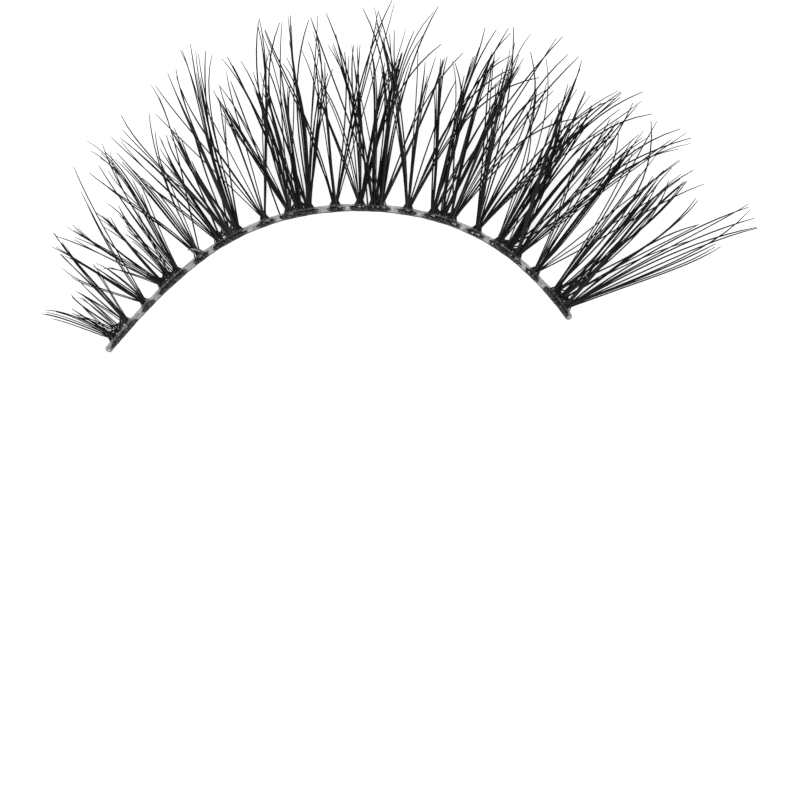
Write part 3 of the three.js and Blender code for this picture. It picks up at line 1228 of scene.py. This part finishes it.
@dataclass
class BandKnots:
    """The black knots in the band: at each tuft a few threads twisted round each other along the band.

    Attributes:
        line: the band's centre line.
        thread: the model of a thread.
        threads: the count of threads in a knot.
        length: the usual length of a knot.
        lengths: the shares of it that a whole knot may have.
        thread_lengths: the shares of its knot's length that a thread may have.
        turns: how often a thread usually goes round.
        turn_shares: the shares of that that a knot may have.
        scatter: how far a thread's middle may lie from its knot's.
        thread_width: the usual width of a thread.
        width_shares: the shares of it that a thread may have.
        twist: the radius of the twist, for roots that lie deep and for those that have risen.
        end_twist: its share at the ends of a thread.
        squash: the height of the twist as a share of its width.
        offset: how far out its middle lies, for deep roots and for risen ones.
        height: how high its middle lies.
        seed: the start of the random draws.
    """

    line: BandLine
    thread: StrandMaster
    threads: int = 8
    length: float = 1.02
    lengths: tuple[float, float] = (0.92, 1.06)
    thread_lengths: tuple[float, float] = (0.65, 1.25)
    turns: float = 0.6
    turn_shares: tuple[float, float] = (0.8, 1.25)
    scatter: float = 0.06
    thread_width: float = 0.1
    width_shares: tuple[float, float] = (0.8, 1.15)
    twist: tuple[float, float] = (0.1, 0.14)
    end_twist: float = 0.45
    squash: float = 0.6
    offset: tuple[float, float] = (-0.09, -0.03)
    height: float = 0.18
    seed: int = 7

    def build(self, material: bpy.types.Material) -> bpy.types.Object:
        """Lays the threads of every knot, joins them and dresses them.

        Args:
            material: their finish.

        Returns:
            The piece.
        """
        chance = np.random.default_rng(self.seed)
        strands = []
        for row in TUFTS:
            length = self.length * chance.uniform(*self.lengths)
            turns = self.turns * chance.uniform(*self.turn_shares)
            phase = chance.uniform(0.0, math.tau)
            for i in range(self.threads):
                route = self.route(
                    self.line.place(row.at) + chance.uniform(-self.scatter, self.scatter),
                    length * chance.uniform(*self.thread_lengths),
                    turns,
                    phase + math.tau * i / self.threads,
                )
                width = self.thread_width * chance.uniform(*self.width_shares)
                strands.append(self.thread.lay(route, width, chance.uniform(0.0, 1.0)))
        piece = join_strands("band_knots", strands)
        finish_piece(piece, material)
        return piece

    def route(self, middle: float, length: float, turns: float, phase: float) -> np.ndarray:
        """The way of one thread.

        Args:
            middle: the place of its middle along the band.
            length: its length along the band.
            turns: how often the thread goes round.
            phase: the angle at which it starts.

        Returns:
            A point for each ring of the thread.
        """
        points = []
        risen = self.line.risen(middle)
        offset = mix(*self.offset, risen)
        twist = mix(*self.twist, risen)
        for share in np.linspace(0.0, 1.0, self.thread.rings):
            radius = twist * mix(self.end_twist, 1.0, math.sin(math.pi * share))
            angle = phase + math.tau * turns * share
            plan = self.line.point(middle + (share - 0.5) * length, offset + radius * math.cos(angle))
            points.append((*plan, self.height + self.squash * radius * math.sin(angle)))
        return np.array(points)


class GlueGlintDrop(NamedTuple):
    """A drop of dried glue, with a near-white colour that is a painted glint: its share of the band's
    length, how far out it lies, its length and width.
    """

    at: float
    offset: float
    length: float
    width: float


# Drops at the places where glints show on the knots; their pale colour paints those glints in.
GLUE_GLINT_DROPS: tuple[GlueGlintDrop, ...] = (
    GlueGlintDrop(0.239, 0.08, 0.28, 0.06),
    GlueGlintDrop(0.331, 0.06, 0.26, 0.07),
    GlueGlintDrop(0.378, 0.08, 0.34, 0.07),
    GlueGlintDrop(0.423, 0.08, 0.3, 0.06),
    GlueGlintDrop(0.513, 0.08, 0.28, 0.07),
    GlueGlintDrop(0.549, 0.07, 0.17, 0.1),
    GlueGlintDrop(0.556, 0.07, 0.12, 0.07),
    GlueGlintDrop(0.574, 0.06, 0.1, 0.06),
    GlueGlintDrop(0.582, 0.07, 0.17, 0.06),
    GlueGlintDrop(0.594, 0.07, 0.17, 0.09),
    GlueGlintDrop(0.638, 0.08, 0.24, 0.08),
    GlueGlintDrop(0.685, 0.08, 0.26, 0.08),
    GlueGlintDrop(0.726, 0.01, 0.28, 0.07),
    GlueGlintDrop(0.764, -0.05, 0.12, 0.14),
    GlueGlintDrop(0.774, 0.0, 0.3, 0.1),
    GlueGlintDrop(0.806, -0.05, 0.08, 0.16),
    GlueGlintDrop(0.846, 0.01, 0.1, 0.07),
    GlueGlintDrop(0.858, 0.06, 0.26, 0.08),
    GlueGlintDrop(0.891, -0.05, 0.07, 0.16),
)


@dataclass
class GlueGlintDrops:
    """The drops of dried glue on the knots, whose near-white colour is a painted glint for the light they
    catch.

    Attributes:
        line: the band's centre line.
        height: how high their middles lie.
        flatness: their height as a share of their width.
        segments: the count of segments round a drop.
        rings: the count of its rings.
        tail_cuts: the places, with the drop at unit size, from which its tail is drawn in.
        tail_draw: the factors of its length, width and height each time.
    """

    line: BandLine
    height: float = 0.34
    flatness: float = 0.8
    segments: int = 12
    rings: int = 8
    tail_cuts: tuple[float, ...] = (0.1, -0.1, -0.3)
    tail_draw: tuple[float, float, float] = (1.1, 0.78, 0.8)

    def build(self, material: bpy.types.Material) -> bpy.types.Object:
        """Models one drop, lays a copy at each place, joins them and dresses them.

        Args:
            material: their finish.

        Returns:
            The piece.
        """
        model = self.model_drop()
        upright = read_points(model.data)
        copies = []
        for row in GLUE_GLINT_DROPS:
            copy = copy_of(model)
            along = self.line.place(row.at)
            heading = self.line.heading(along)
            sized = upright * (row.length, row.width, row.width * self.flatness)
            plan = (
                self.line.point(along, row.offset)
                + sized[:, :1] * across_heading(heading)
                + sized[:, 1:2] * along_heading(heading)
            )
            write_points(copy.data, np.column_stack((plan, self.height + sized[:, 2])) * MM)
            copies.append(copy)
        discard(model)
        piece = join_strands("glue_drops_painted_glints", copies)
        finish_piece(piece, material)
        return piece

    def model_drop(self) -> bpy.types.Object:
        """Models a drop at unit size: a round body that is drawn in step by step to a tail.

        Returns:
            The drop.
        """
        deselect()
        bpy.ops.mesh.primitive_uv_sphere_add(segments=self.segments, ring_count=self.rings, radius=0.5)
        drop = bpy.context.object
        bpy.ops.object.mode_set(mode="EDIT")
        for cut in self.tail_cuts:
            pick(drop.data, Part.VERTEX, lambda vertex: vertex.co.x < cut)
            bpy.ops.transform.resize(value=self.tail_draw, center_override=(cut, 0.0, 0.0))
        bpy.ops.object.mode_set(mode="OBJECT")
        bpy.ops.object.shade_smooth()
        return drop


@dataclass
class LashTufts:
    """The tufts: fine hairs that start in a knot, draw in to a waist past the band and fan out in locks.

    Attributes:
        line: the band's centre line.
        sheet: the curled sheet that they lie in.
        lash: the model of a hair.
        lash_reach: the reach of the longest lock in plan.
        hair_width: the usual width of a hair.
        finest: the share of it that the hairs at the inner corner have.
        full_width_from: the share of the band from which they have all of it.
        hair_widths: the shares of its tuft's hair width that a hair may have.
        foot_width: the width of a tuft on the band.
        waist_width: its width in its waist.
        waist_out: how far out from the band's edge the waist is.
        fanned_by: the share of a hair's reach by which it has left its place in the waist.
        lock_first: the width of a lock of one hair.
        lock_next: what each hair more adds to it.
        lock_opening: how much a lock widens to its tip, for each hair more than one.
        openings: the least and the most factor on that, before it is squared.
        closings: the least and the most share of its width that a lock loses again to its tip.
        uneven: how unevenly hairs are placed in a lock, of the gap between them.
        cling: how far two neighbours draw together, from 0 to 1.
        bow_with_lean: the usual bow of a lock, as a share of its lean.
        lock_bow: how much its bow varies, in degrees.
        lock_flick: how much the flick of its tip varies.
        counter_lean: how much of the flick it leans the other way, so that its tip stays in place.
        lean_scatter: how much the lean of a hair varies.
        hair_flick: how much the flick of a hair varies.
        full_reach: the share of its lock's reach that the middle hair has.
        hair_reaches: the shares of it that the others may have.
        lift_at_waist: how much higher or lower than its layer a hair may lie at the waist.
        lift_at_tip: the same at its tip.
        lowest: the least height of a hair's middle, of its width.
        knot_out: where a hair starts in the knot, as a share of half the band's width.
        knot_narrowing: the width of the foot in the knot as a share of its width at the rim.
        knot_height: the height there, for roots that lie deep and for those that have risen.
        rim_inset: how far in from the band's edge a hair comes out of it.
        rim_height: the height there, for deep roots and for risen ones.
        rim_spread: how much of its lift a hair has there, for deep roots and for risen ones.
        seed: the start of the random draws.
    """

    line: BandLine
    sheet: LashSheet
    lash: StrandMaster
    lash_reach: float = 12.7
    hair_width: float = 0.09
    finest: float = 0.8
    full_width_from: float = 0.45
    hair_widths: tuple[float, float] = (0.82, 1.18)
    foot_width: float = 0.6
    waist_width: float = 0.36
    waist_out: float = 0.25
    fanned_by: float = 0.16
    lock_first: float = 0.11
    lock_next: float = 0.058
    lock_opening: float = 0.2
    openings: tuple[float, float] = (0.3, 1.15)
    closings: tuple[float, float] = (0.35, 1.15)
    uneven: float = 0.3
    cling: float = 0.6
    bow_with_lean: float = 0.2
    lock_bow: float = 3.5
    lock_flick: float = 12.0
    counter_lean: float = 0.2
    lean_scatter: float = 0.15
    hair_flick: float = 6.0
    full_reach: float = 0.985
    hair_reaches: tuple[float, float] = (0.8, 0.98)
    lift_at_waist: float = 0.09
    lift_at_tip: float = 0.15
    lowest: float = 0.6
    knot_out: float = -0.2
    knot_narrowing: float = 0.8
    knot_height: tuple[float, float] = (0.08, 0.2)
    rim_inset: float = 0.02
    rim_height: tuple[float, float] = (0.12, 0.3)
    rim_spread: tuple[float, float] = (0.5, 1.3)
    seed: int = 31

    def build(self, material: bpy.types.Material) -> list[bpy.types.Object]:
        """Lays the hairs of every tuft, joins them tuft by tuft and dresses them.

        Args:
            material: their finish.

        Returns:
            The pieces, one for each tuft.
        """
        chance = np.random.default_rng(self.seed)
        pieces = []
        for number, row in enumerate(TUFTS, start=1):
            piece = join_strands(f"lashes_{number:02d}", self.tuft_hairs(row, chance))
            finish_piece(piece, material)
            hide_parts(f"tuft_{number:02d}")
            pieces.append(piece)
        return pieces

    def width_at(self, at: float) -> float:
        """The usual width of a hair at a share of the band's length."""
        return self.hair_width * mix(self.finest, 1.0, smooth(at / self.full_width_from))

    def tuft_hairs(self, row: Tuft, chance: np.random.Generator) -> list[bpy.types.Object]:
        """Lays the hairs of one tuft.

        Args:
            row: the tuft.
            chance: the source of small differences.

        Returns:
            The hairs.
        """
        along = self.line.place(row.at)
        hairs_in_all = sum(lock.hairs for lock in row.locks)
        edge = -self.waist_width / 2
        strands = []
        for lock in row.locks:
            room = self.waist_width * lock.hairs / hairs_in_all
            middle = edge + room / 2
            edge += room
            spread = self.lock_first + self.lock_next * (lock.hairs - 1) - self.hair_width
            count = lock.hairs + (lock.hairs - 1) // 2
            opening = self.lock_opening * (count - 1) * lock.reach * chance.uniform(*self.openings) ** 2
            closing = chance.uniform(*self.closings)
            bow = chance.normal(self.bow_with_lean * lock.lean, self.lock_bow)
            flick = chance.normal(0.0, self.lock_flick)
            for i in range(count):
                own = i + chance.normal(0.0, self.uneven) if count > 1 else 0.5
                shared = min(i - i % 2 + 0.5, count - 1.0) if count > 2 else own
                side = 2.0 * mix(own, shared, self.cling) / max(count - 1, 1) - 1.0
                grown = self.full_reach if i == count // 2 else chance.uniform(*self.hair_reaches)
                own_flick = flick * grown + chance.normal(0.0, self.hair_flick)
                sway = Sway(bow * grown, lock.bend * grown, own_flick)
                route = self.route(
                    along,
                    lock.lean - self.counter_lean * flick + chance.normal(0.0, self.lean_scatter),
                    lock.reach * grown,
                    sway,
                    waist=(middle, side * room / 2),
                    spread=side * spread / 2,
                    opening=side * opening / 2,
                    closing=closing,
                    lift=(
                        chance.uniform(-self.lift_at_waist, self.lift_at_waist),
                        chance.uniform(-self.lift_at_tip, self.lift_at_tip),
                    ),
                )
                width = self.width_at(row.at) * chance.uniform(*self.hair_widths)
                strands.append(self.lash.lay(route, width, chance.uniform(0.0, 1.0)))
        return strands

    def foot(self, along: float, beside: float, lift: float) -> list[tuple[float, float, float]]:
        """Where a hair starts: in its knot, and then over the band's rim.

        Args:
            along: its tuft's place along the band.
            beside: its own place beside the middle of the foot.
            lift: how much higher than its layer it lies.

        Returns:
            The two points.
        """
        edge = self.line.width / 2
        risen = self.line.risen(along)
        across = across_heading(self.line.heading(along)) * beside
        knot = self.line.point(along, self.knot_out * edge) + across * self.knot_narrowing
        rim = self.line.point(along, edge - self.rim_inset) + across
        over_rim = mix(*self.rim_height, risen) + lift * mix(*self.rim_spread, risen)
        return [(*knot, mix(*self.knot_height, risen)), (*rim, over_rim)]

    def route(
        self,
        along: float,
        lean: float,
        reach: float,
        sway: Sway,
        waist: tuple[float, float],
        spread: float,
        opening: float,
        closing: float,
        lift: tuple[float, float],
    ) -> np.ndarray:
        """The way of one hair.

        Args:
            along: its tuft's place along the band.
            lean: its lean, which sets its layer too.
            reach: its reach as a share of the longest lock's.
            sway: how it curves.
            waist: the middle of its lock in the waist, and its own place beside that.
            spread: its distance from its lock's middle just past the waist.
            opening: how much farther from the middle it would be at its tip if the lock never closed.
            closing: the share of its distance from the middle that it has lost again at its tip.
            lift: how much higher than its layer it lies, at the waist and at its tip.

        Returns:
            A point for each ring of the hair.
        """
        normal = self.line.heading(along)
        across = across_heading(normal)
        points = self.foot(along, sum(waist) * self.foot_width / self.waist_width, lift[0])
        steps = self.lash.rings - len(points) - 1
        plan = self.line.point(along, self.line.width / 2 + self.waist_out) + across * waist[0]
        for k in range(steps + 1):
            share = k / steps
            heading = normal + math.radians(lean + sway.turned(share))
            fanned = smooth(share / self.fanned_by)
            place = (
                plan
                + across * waist[1] * (1.0 - fanned)
                + across_heading(heading) * (spread + opening * share) * (1.0 - closing * share) * fanned
            )
            height = self.sheet.height(self.line.out_of(place), lean) + mix(*lift, share)
            points.append((*place, max(height, self.hair_width * self.lowest)))
            ahead = normal + math.radians(lean + sway.turned((k + 0.5) / steps))
            plan = plan + along_heading(ahead) * (reach * self.lash_reach / steps)
        return np.array(points)


@dataclass(frozen=True)
class PhotoFrame:
    """The photo's frame, laid over the strip in plan.

    Attributes:
        pixels: its count of pixels a side.
        width: its width in millimetres.
        middle: the plan point in its middle.
    """

    pixels: int = 800
    width: float = 49.2
    middle: tuple[float, float] = (2.585, -11.836)

    def place(self, column: int, row: int) -> np.ndarray:
        """The plan point of a pixel, counted from the photo's upper left corner."""
        from_middle = np.array((column - self.pixels / 2, self.pixels / 2 - row))
        return np.array(self.middle) + from_middle * self.width / self.pixels


class StrayHair(NamedTuple):
    """A hair that goes its own way.

    It has its tuft's place along the band. A place that it passes and its tip are given as column and row
    of the photo, read off it.
    """

    at: float
    passes: tuple[int, int]
    tip: tuple[int, int]


STRAY_HAIRS: tuple[StrayHair, ...] = (
    StrayHair(0.304, (207, 110), (206, 52)),
    StrayHair(0.403, (254, 143), (231, 82)),
    StrayHair(0.42, (260, 98), (259, 22)),
    StrayHair(0.439, (269, 85), (280, 24)),
    StrayHair(0.457, (298, 73), (309, 21)),
    StrayHair(0.457, (249, 98), (228, 58)),
    StrayHair(0.506, (297, 88), (291, 17)),
    StrayHair(0.506, (360, 86), (392, 2)),
    StrayHair(0.55, (400, 91), (441, 45)),
    StrayHair(0.564, (363, 141), (358, 79)),
    StrayHair(0.589, (344, 108), (311, 19)),
    StrayHair(0.589, (384, 75), (363, 10)),
    StrayHair(0.589, (395, 90), (414, 32)),
    StrayHair(0.589, (400, 107), (438, 8)),
    StrayHair(0.637, (462, 107), (514, 68)),
    StrayHair(0.637, (502, 91), (539, 78)),
    StrayHair(0.683, (467, 111), (508, 30)),
    StrayHair(0.683, (462, 107), (455, 64)),
    StrayHair(0.683, (524, 82), (562, 38)),
    StrayHair(0.702, (464, 98), (496, 31)),
    StrayHair(0.72, (478, 82), (510, 57)),
    StrayHair(0.72, (533, 134), (576, 119)),
    StrayHair(0.72, (542, 96), (578, 58)),
    StrayHair(0.769, (507, 104), (513, 29)),
    StrayHair(0.769, (520, 116), (567, 56)),
    StrayHair(0.769, (533, 111), (530, 53)),
    StrayHair(0.813, (544, 156), (581, 62)),
    StrayHair(0.813, (577, 129), (620, 93)),
    StrayHair(0.813, (596, 119), (642, 93)),
    StrayHair(0.834, (601, 133), (651, 115)),
    StrayHair(0.834, (638, 158), (690, 139)),
    StrayHair(0.834, (613, 161), (618, 134)),
    StrayHair(0.854, (589, 175), (632, 104)),
    StrayHair(0.899, (621, 161), (679, 130)),
    StrayHair(0.948, (649, 156), (650, 122)),
    StrayHair(0.948, (662, 234), (695, 199)),
    StrayHair(0.983, (657, 195), (692, 171)),
    StrayHair(0.983, (640, 250), (698, 225)),
    StrayHair(0.983, (687, 233), (747, 208)),
    StrayHair(0.983, (700, 237), (753, 219)),
    StrayHair(0.983, (700, 243), (755, 228)),
    StrayHair(0.983, (650, 274), (715, 244)),
)


@dataclass
class StrayHairs:
    """The single hairs that stand between the tufts or curve away from their locks.

    Attributes:
        tufts: the tufts that they stand in.
        photo: the photo's frame.
        width: their width.
        tone: how light they are, from 0 to 1.
        beside_per_degree: how far beside the waist's middle a hair starts, for each degree of its lean.
        bow_power: the power of its bow. At 2 a hair bends evenly, and above that mostly near its tip.
    """

    tufts: LashTufts
    photo: PhotoFrame
    width: float = 0.108
    tone: float = 0.4
    beside_per_degree: float = 0.006
    bow_power: float = 3.0

    def build(self, material: bpy.types.Material) -> bpy.types.Object:
        """Lays the single hairs, joins them and dresses them.

        Args:
            material: their finish.

        Returns:
            The piece.
        """
        strands = [self.tufts.lash.lay(self.route(row), self.width, self.tone) for row in STRAY_HAIRS]
        piece = join_strands("single_hairs", strands)
        finish_piece(piece, material)
        return piece

    def route(self, row: StrayHair) -> np.ndarray:
        """The way of one hair: a bow from its tuft's waist, by the place that it passes, to its tip.

        Args:
            row: the hair.

        Returns:
            A point for each ring of the hair.
        """
        tufts, line = self.tufts, self.tufts.line
        along = line.place(row.at)
        heading = line.heading(along)
        waist = line.point(along, line.width / 2 + tufts.waist_out)
        passes, tip = self.photo.place(*row.passes), self.photo.place(*row.tip)
        lean = math.degrees(math.atan2(*(tip - waist)) - heading)
        waist = waist + across_heading(heading) * self.beside_per_degree * lean
        before, after = np.linalg.norm(passes - waist), np.linalg.norm(tip - passes)
        passed = before / (before + after)
        bow = (passes - mix(waist, tip, passed)) / (passed**self.bow_power - passed)
        points = tufts.foot(along, 0.0, 0.0)
        for share in np.linspace(0.0, 1.0, tufts.lash.rings - len(points)):
            place = mix(waist, tip, share) + bow * (share**self.bow_power - share)
            height = tufts.sheet.height(line.out_of(place), lean)
            points.append((*place, max(height, self.width * tufts.lowest)))
        return np.array(points)


@dataclass
class PaleHair:
    """The one pale hair, which lies in an arc over the foot of a tuft.

    Attributes:
        line: the band's centre line.
        thread: the model of a thread.
        along: the places along the band of its two ends.
        offset: how far out they lie.
        height: the height of its ends and of its middle.
        width: its width.
        tone: how light it is, from 0 to 1.
    """

    line: BandLine
    thread: StrandMaster
    along: tuple[float, float] = (-10.68, -10.12)
    offset: tuple[float, float] = (0.84, 0.28)
    height: tuple[float, float] = (0.34, 0.6)
    width: float = 0.095
    tone: float = 0.6

    def build(self, material: bpy.types.Material) -> bpy.types.Object:
        """Lays the hair and dresses it.

        Args:
            material: its finish.

        Returns:
            The piece.
        """
        points = []
        for share in np.linspace(0.0, 1.0, self.thread.rings):
            plan = self.line.point(mix(*self.along, share), mix(*self.offset, share**2))
            points.append((*plan, mix(*self.height, math.sin(math.pi * share))))
        piece = self.thread.lay(np.array(points), self.width, self.tone)
        name_piece(piece, "pale_hair")
        finish_piece(piece, material)
        return piece


@dataclass
class FootWebs:
    """The short ends of thread that cross between the feet of tufts that stand close together.

    Attributes:
        line: the band's centre line.
        thread: the model of a thread.
        closest: the distance of two feet up to which ends cross between them.
        ends: the count of ends between two feet.
        width: their width.
        start_scatter: how far from its foot's middle an end may start.
        end_scatter: how far from the other foot's middle it may end.
        inset: how far in from the band's edge it starts.
        reaches: the least and the most that it reaches out past the band's edge.
        root_height: the height at which it starts and ends.
        heights: the least and the most height of its middle.
        seed: the start of the random draws.
    """

    line: BandLine
    thread: StrandMaster
    closest: float = 0.8
    ends: int = 8
    width: float = 0.095
    start_scatter: float = 0.12
    end_scatter: float = 0.15
    inset: float = 0.05
    reaches: tuple[float, float] = (0.2, 0.75)
    root_height: float = 0.26
    heights: tuple[float, float] = (0.3, 0.5)
    seed: int = 12

    def build(self, material: bpy.types.Material) -> bpy.types.Object:
        """Lays the ends between each close pair of feet, joins them and dresses them.

        Args:
            material: their finish.

        Returns:
            The piece.
        """
        chance = np.random.default_rng(self.seed)
        places = [self.line.place(row.at) for row in TUFTS]
        strands = []
        for left, right in zip(places, places[1:]):
            if right - left > self.closest:
                continue
            for _ in range(self.ends):
                towards = chance.choice((-1.0, 1.0))
                start, end = (left, right) if towards > 0 else (right, left)
                start += chance.uniform(-self.start_scatter, self.start_scatter)
                end += chance.uniform(-self.end_scatter, self.end_scatter)
                route = self.route(start, end, chance.uniform(*self.reaches), chance.uniform(*self.heights))
                strands.append(self.thread.lay(route, self.width, chance.uniform(0.0, 1.0)))
        piece = join_strands("foot_webs", strands)
        finish_piece(piece, material)
        return piece

    def route(self, start: float, end: float, far: float, height: float) -> np.ndarray:
        """The way of one end.

        Args:
            start: where it leaves the band, along it.
            end: the place along the band over which it ends.
            far: how far out from the band's edge it ends.
            height: how high it rises on its way.

        Returns:
            A point for each ring of the thread.
        """
        edge = self.line.width / 2
        points = []
        for share in np.linspace(0.0, 1.0, self.thread.rings):
            plan = self.line.point(mix(start, end, smooth(share)), edge + mix(-self.inset, far, share))
            points.append((*plan, mix(self.root_height, height, math.sin(math.pi * share))))
        return np.array(points)


class Lamp(NamedTuple):
    """A lamp: its name, its place in metres, and how it is turned round X and Y, in degrees."""

    name: str
    place: tuple[float, float, float]
    turn: tuple[float, float]


@dataclass(frozen=True)
class Studio:
    """A white floor, soft light from all sides and a camera that looks straight down from far off.

    Attributes:
        photo: the photo's frame, which the camera takes in.
        lens: the camera's focal length in millimetres.
        sensor: the width of its sensor.
        clip: the nearest and the farthest that it sees, in metres.
        floor_size: the floor's width in metres.
        floor_depth: how far under the band it lies, in millimetres.
        white: the colour of the surroundings.
        surroundings: the strength of their light.
        lamps: the lamps.
        lamp_power: the power of each.
        lamp_size: the width of each in metres.
    """

    photo: PhotoFrame
    lens: float = 1000.0
    sensor: float = 36.0
    clip: tuple[float, float] = (0.1, 10.0)
    floor_size: float = 6.0
    floor_depth: float = 0.02
    white: tuple[float, float, float, float] = (1.0, 1.0, 1.0, 1.0)
    surroundings: float = 0.45
    lamps: tuple[Lamp, ...] = (
        Lamp("left_lamp", (-0.35, 0.2, 0.4), (-25.0, -40.0)),
        Lamp("right_lamp", (0.4, -0.15, 0.45), (15.0, 42.0)),
    )
    lamp_power: float = 0.6
    lamp_size: float = 0.12

    def build(self, floor_material: bpy.types.Material) -> None:
        """Sets up the floor, the lights and the camera.

        Args:
            floor_material: the floor's finish.
        """
        self.floor(floor_material)
        self.light()
        self.camera()

    def floor(self, material: bpy.types.Material) -> None:
        """Lays the floor under the strip.

        Args:
            material: its finish.
        """
        deselect()
        bpy.ops.mesh.primitive_plane_add(size=self.floor_size, location=(0.0, 0.0, -self.floor_depth * MM))
        floor = bpy.context.object
        floor.name = "floor"
        floor.data.materials.append(material)

    def light(self) -> None:
        """Lights the strip with a white surrounding and the lamps."""
        world = bpy.data.worlds.new("white_surroundings")
        world.use_nodes = True
        bench = NodeBench(world.node_tree)
        background = bench.add("ShaderNodeBackground", {"Color": self.white, "Strength": self.surroundings})
        bench.add("ShaderNodeOutputWorld", {"Surface": background.outputs[0]})
        bpy.context.scene.world = world
        bpy.context.scene.view_settings.view_transform = "Standard"
        for row in self.lamps:
            turn = tuple(math.radians(angle) for angle in (*row.turn, 0.0))
            bpy.ops.object.light_add(type="AREA", location=row.place, rotation=turn)
            lamp = bpy.context.object
            lamp.name = row.name
            lamp.data.size = self.lamp_size
            lamp.data.energy = self.lamp_power

    def camera(self) -> None:
        """Hangs the camera over the middle of the photo's frame."""
        x, y = self.photo.middle
        height = self.photo.width * self.lens / self.sensor
        bpy.ops.object.camera_add(location=(x * MM, y * MM, height * MM), rotation=(0.0, 0.0, 0.0))
        camera = bpy.context.object
        camera.name = "camera"
        camera.data.lens = self.lens
        camera.data.sensor_width = self.sensor
        camera.data.clip_start, camera.data.clip_end = self.clip
        bpy.context.scene.camera = camera


def main() -> None:
    """Builds the strip and its studio."""
    logging.basicConfig(level=logging.INFO, format="%(name)s: %(message)s")
    effects = SharedEffects()
    # Lash fibre whose lighter hairs and streaks are partly painted sheen.
    fibre = StrandFinish(
        name="black_lash_fibre_painted_sheen",
        dark=(0.0015, 0.0015, 0.0016, 1.0),
        light=(0.075, 0.075, 0.078, 1.0),
        roughness=(0.4, 0.55),
        specular=0.12,
    ).material(effects)
    # Knot thread with pale flecks, partly dried glue and partly painted glints.
    thread = StrandFinish(
        name="glued_black_thread_painted_glints",
        dark=(0.004, 0.004, 0.0045, 1.0),
        light=(0.09, 0.09, 0.094, 1.0),
        roughness=(0.3, 0.5),
        specular=0.3,
        coat=0.3,
        bump=0.6,
        flecks=0.8,
    ).material(effects)
    pale_fibre = StrandFinish(
        name="pale_fibre",
        dark=(0.3, 0.303, 0.306, 1.0),
        light=(0.7, 0.705, 0.71, 1.0),
        roughness=(0.3, 0.5),
        specular=0.4,
    ).material(effects)
    # The drops' near-white finish: dried glue, and a painted glint.
    glue = ClearBandFinish(
        name="dried_glue_painted_glint",
        cloudy=(0.6, 0.605, 0.61, 1.0),
        clear=(0.92, 0.92, 0.92, 1.0),
        transmission=0.15,
        cloud_scale=9000.0,
    ).material(effects)
    line, photo = BandLine(), PhotoFrame()
    lash = StrandMaster(StrandShape.LASH)
    knot_thread = StrandMaster(StrandShape.THREAD)
    lash.build()
    knot_thread.build()
    ClearBand(line).build(ClearBandFinish().material(effects))
    BandKnots(line, knot_thread).build(thread)
    GlueGlintDrops(line).build(glue)
    tufts = LashTufts(line, LashSheet(), lash)
    tufts.build(fibre)
    StrayHairs(tufts, photo).build(fibre)
    FootWebs(line, knot_thread).build(fibre)
    PaleHair(line, knot_thread).build(pale_fibre)
    lash.clear()
    knot_thread.clear()
    Studio(photo).build(PaleFloorFinish().material(effects))


if __name__ == "__main__":
    main()
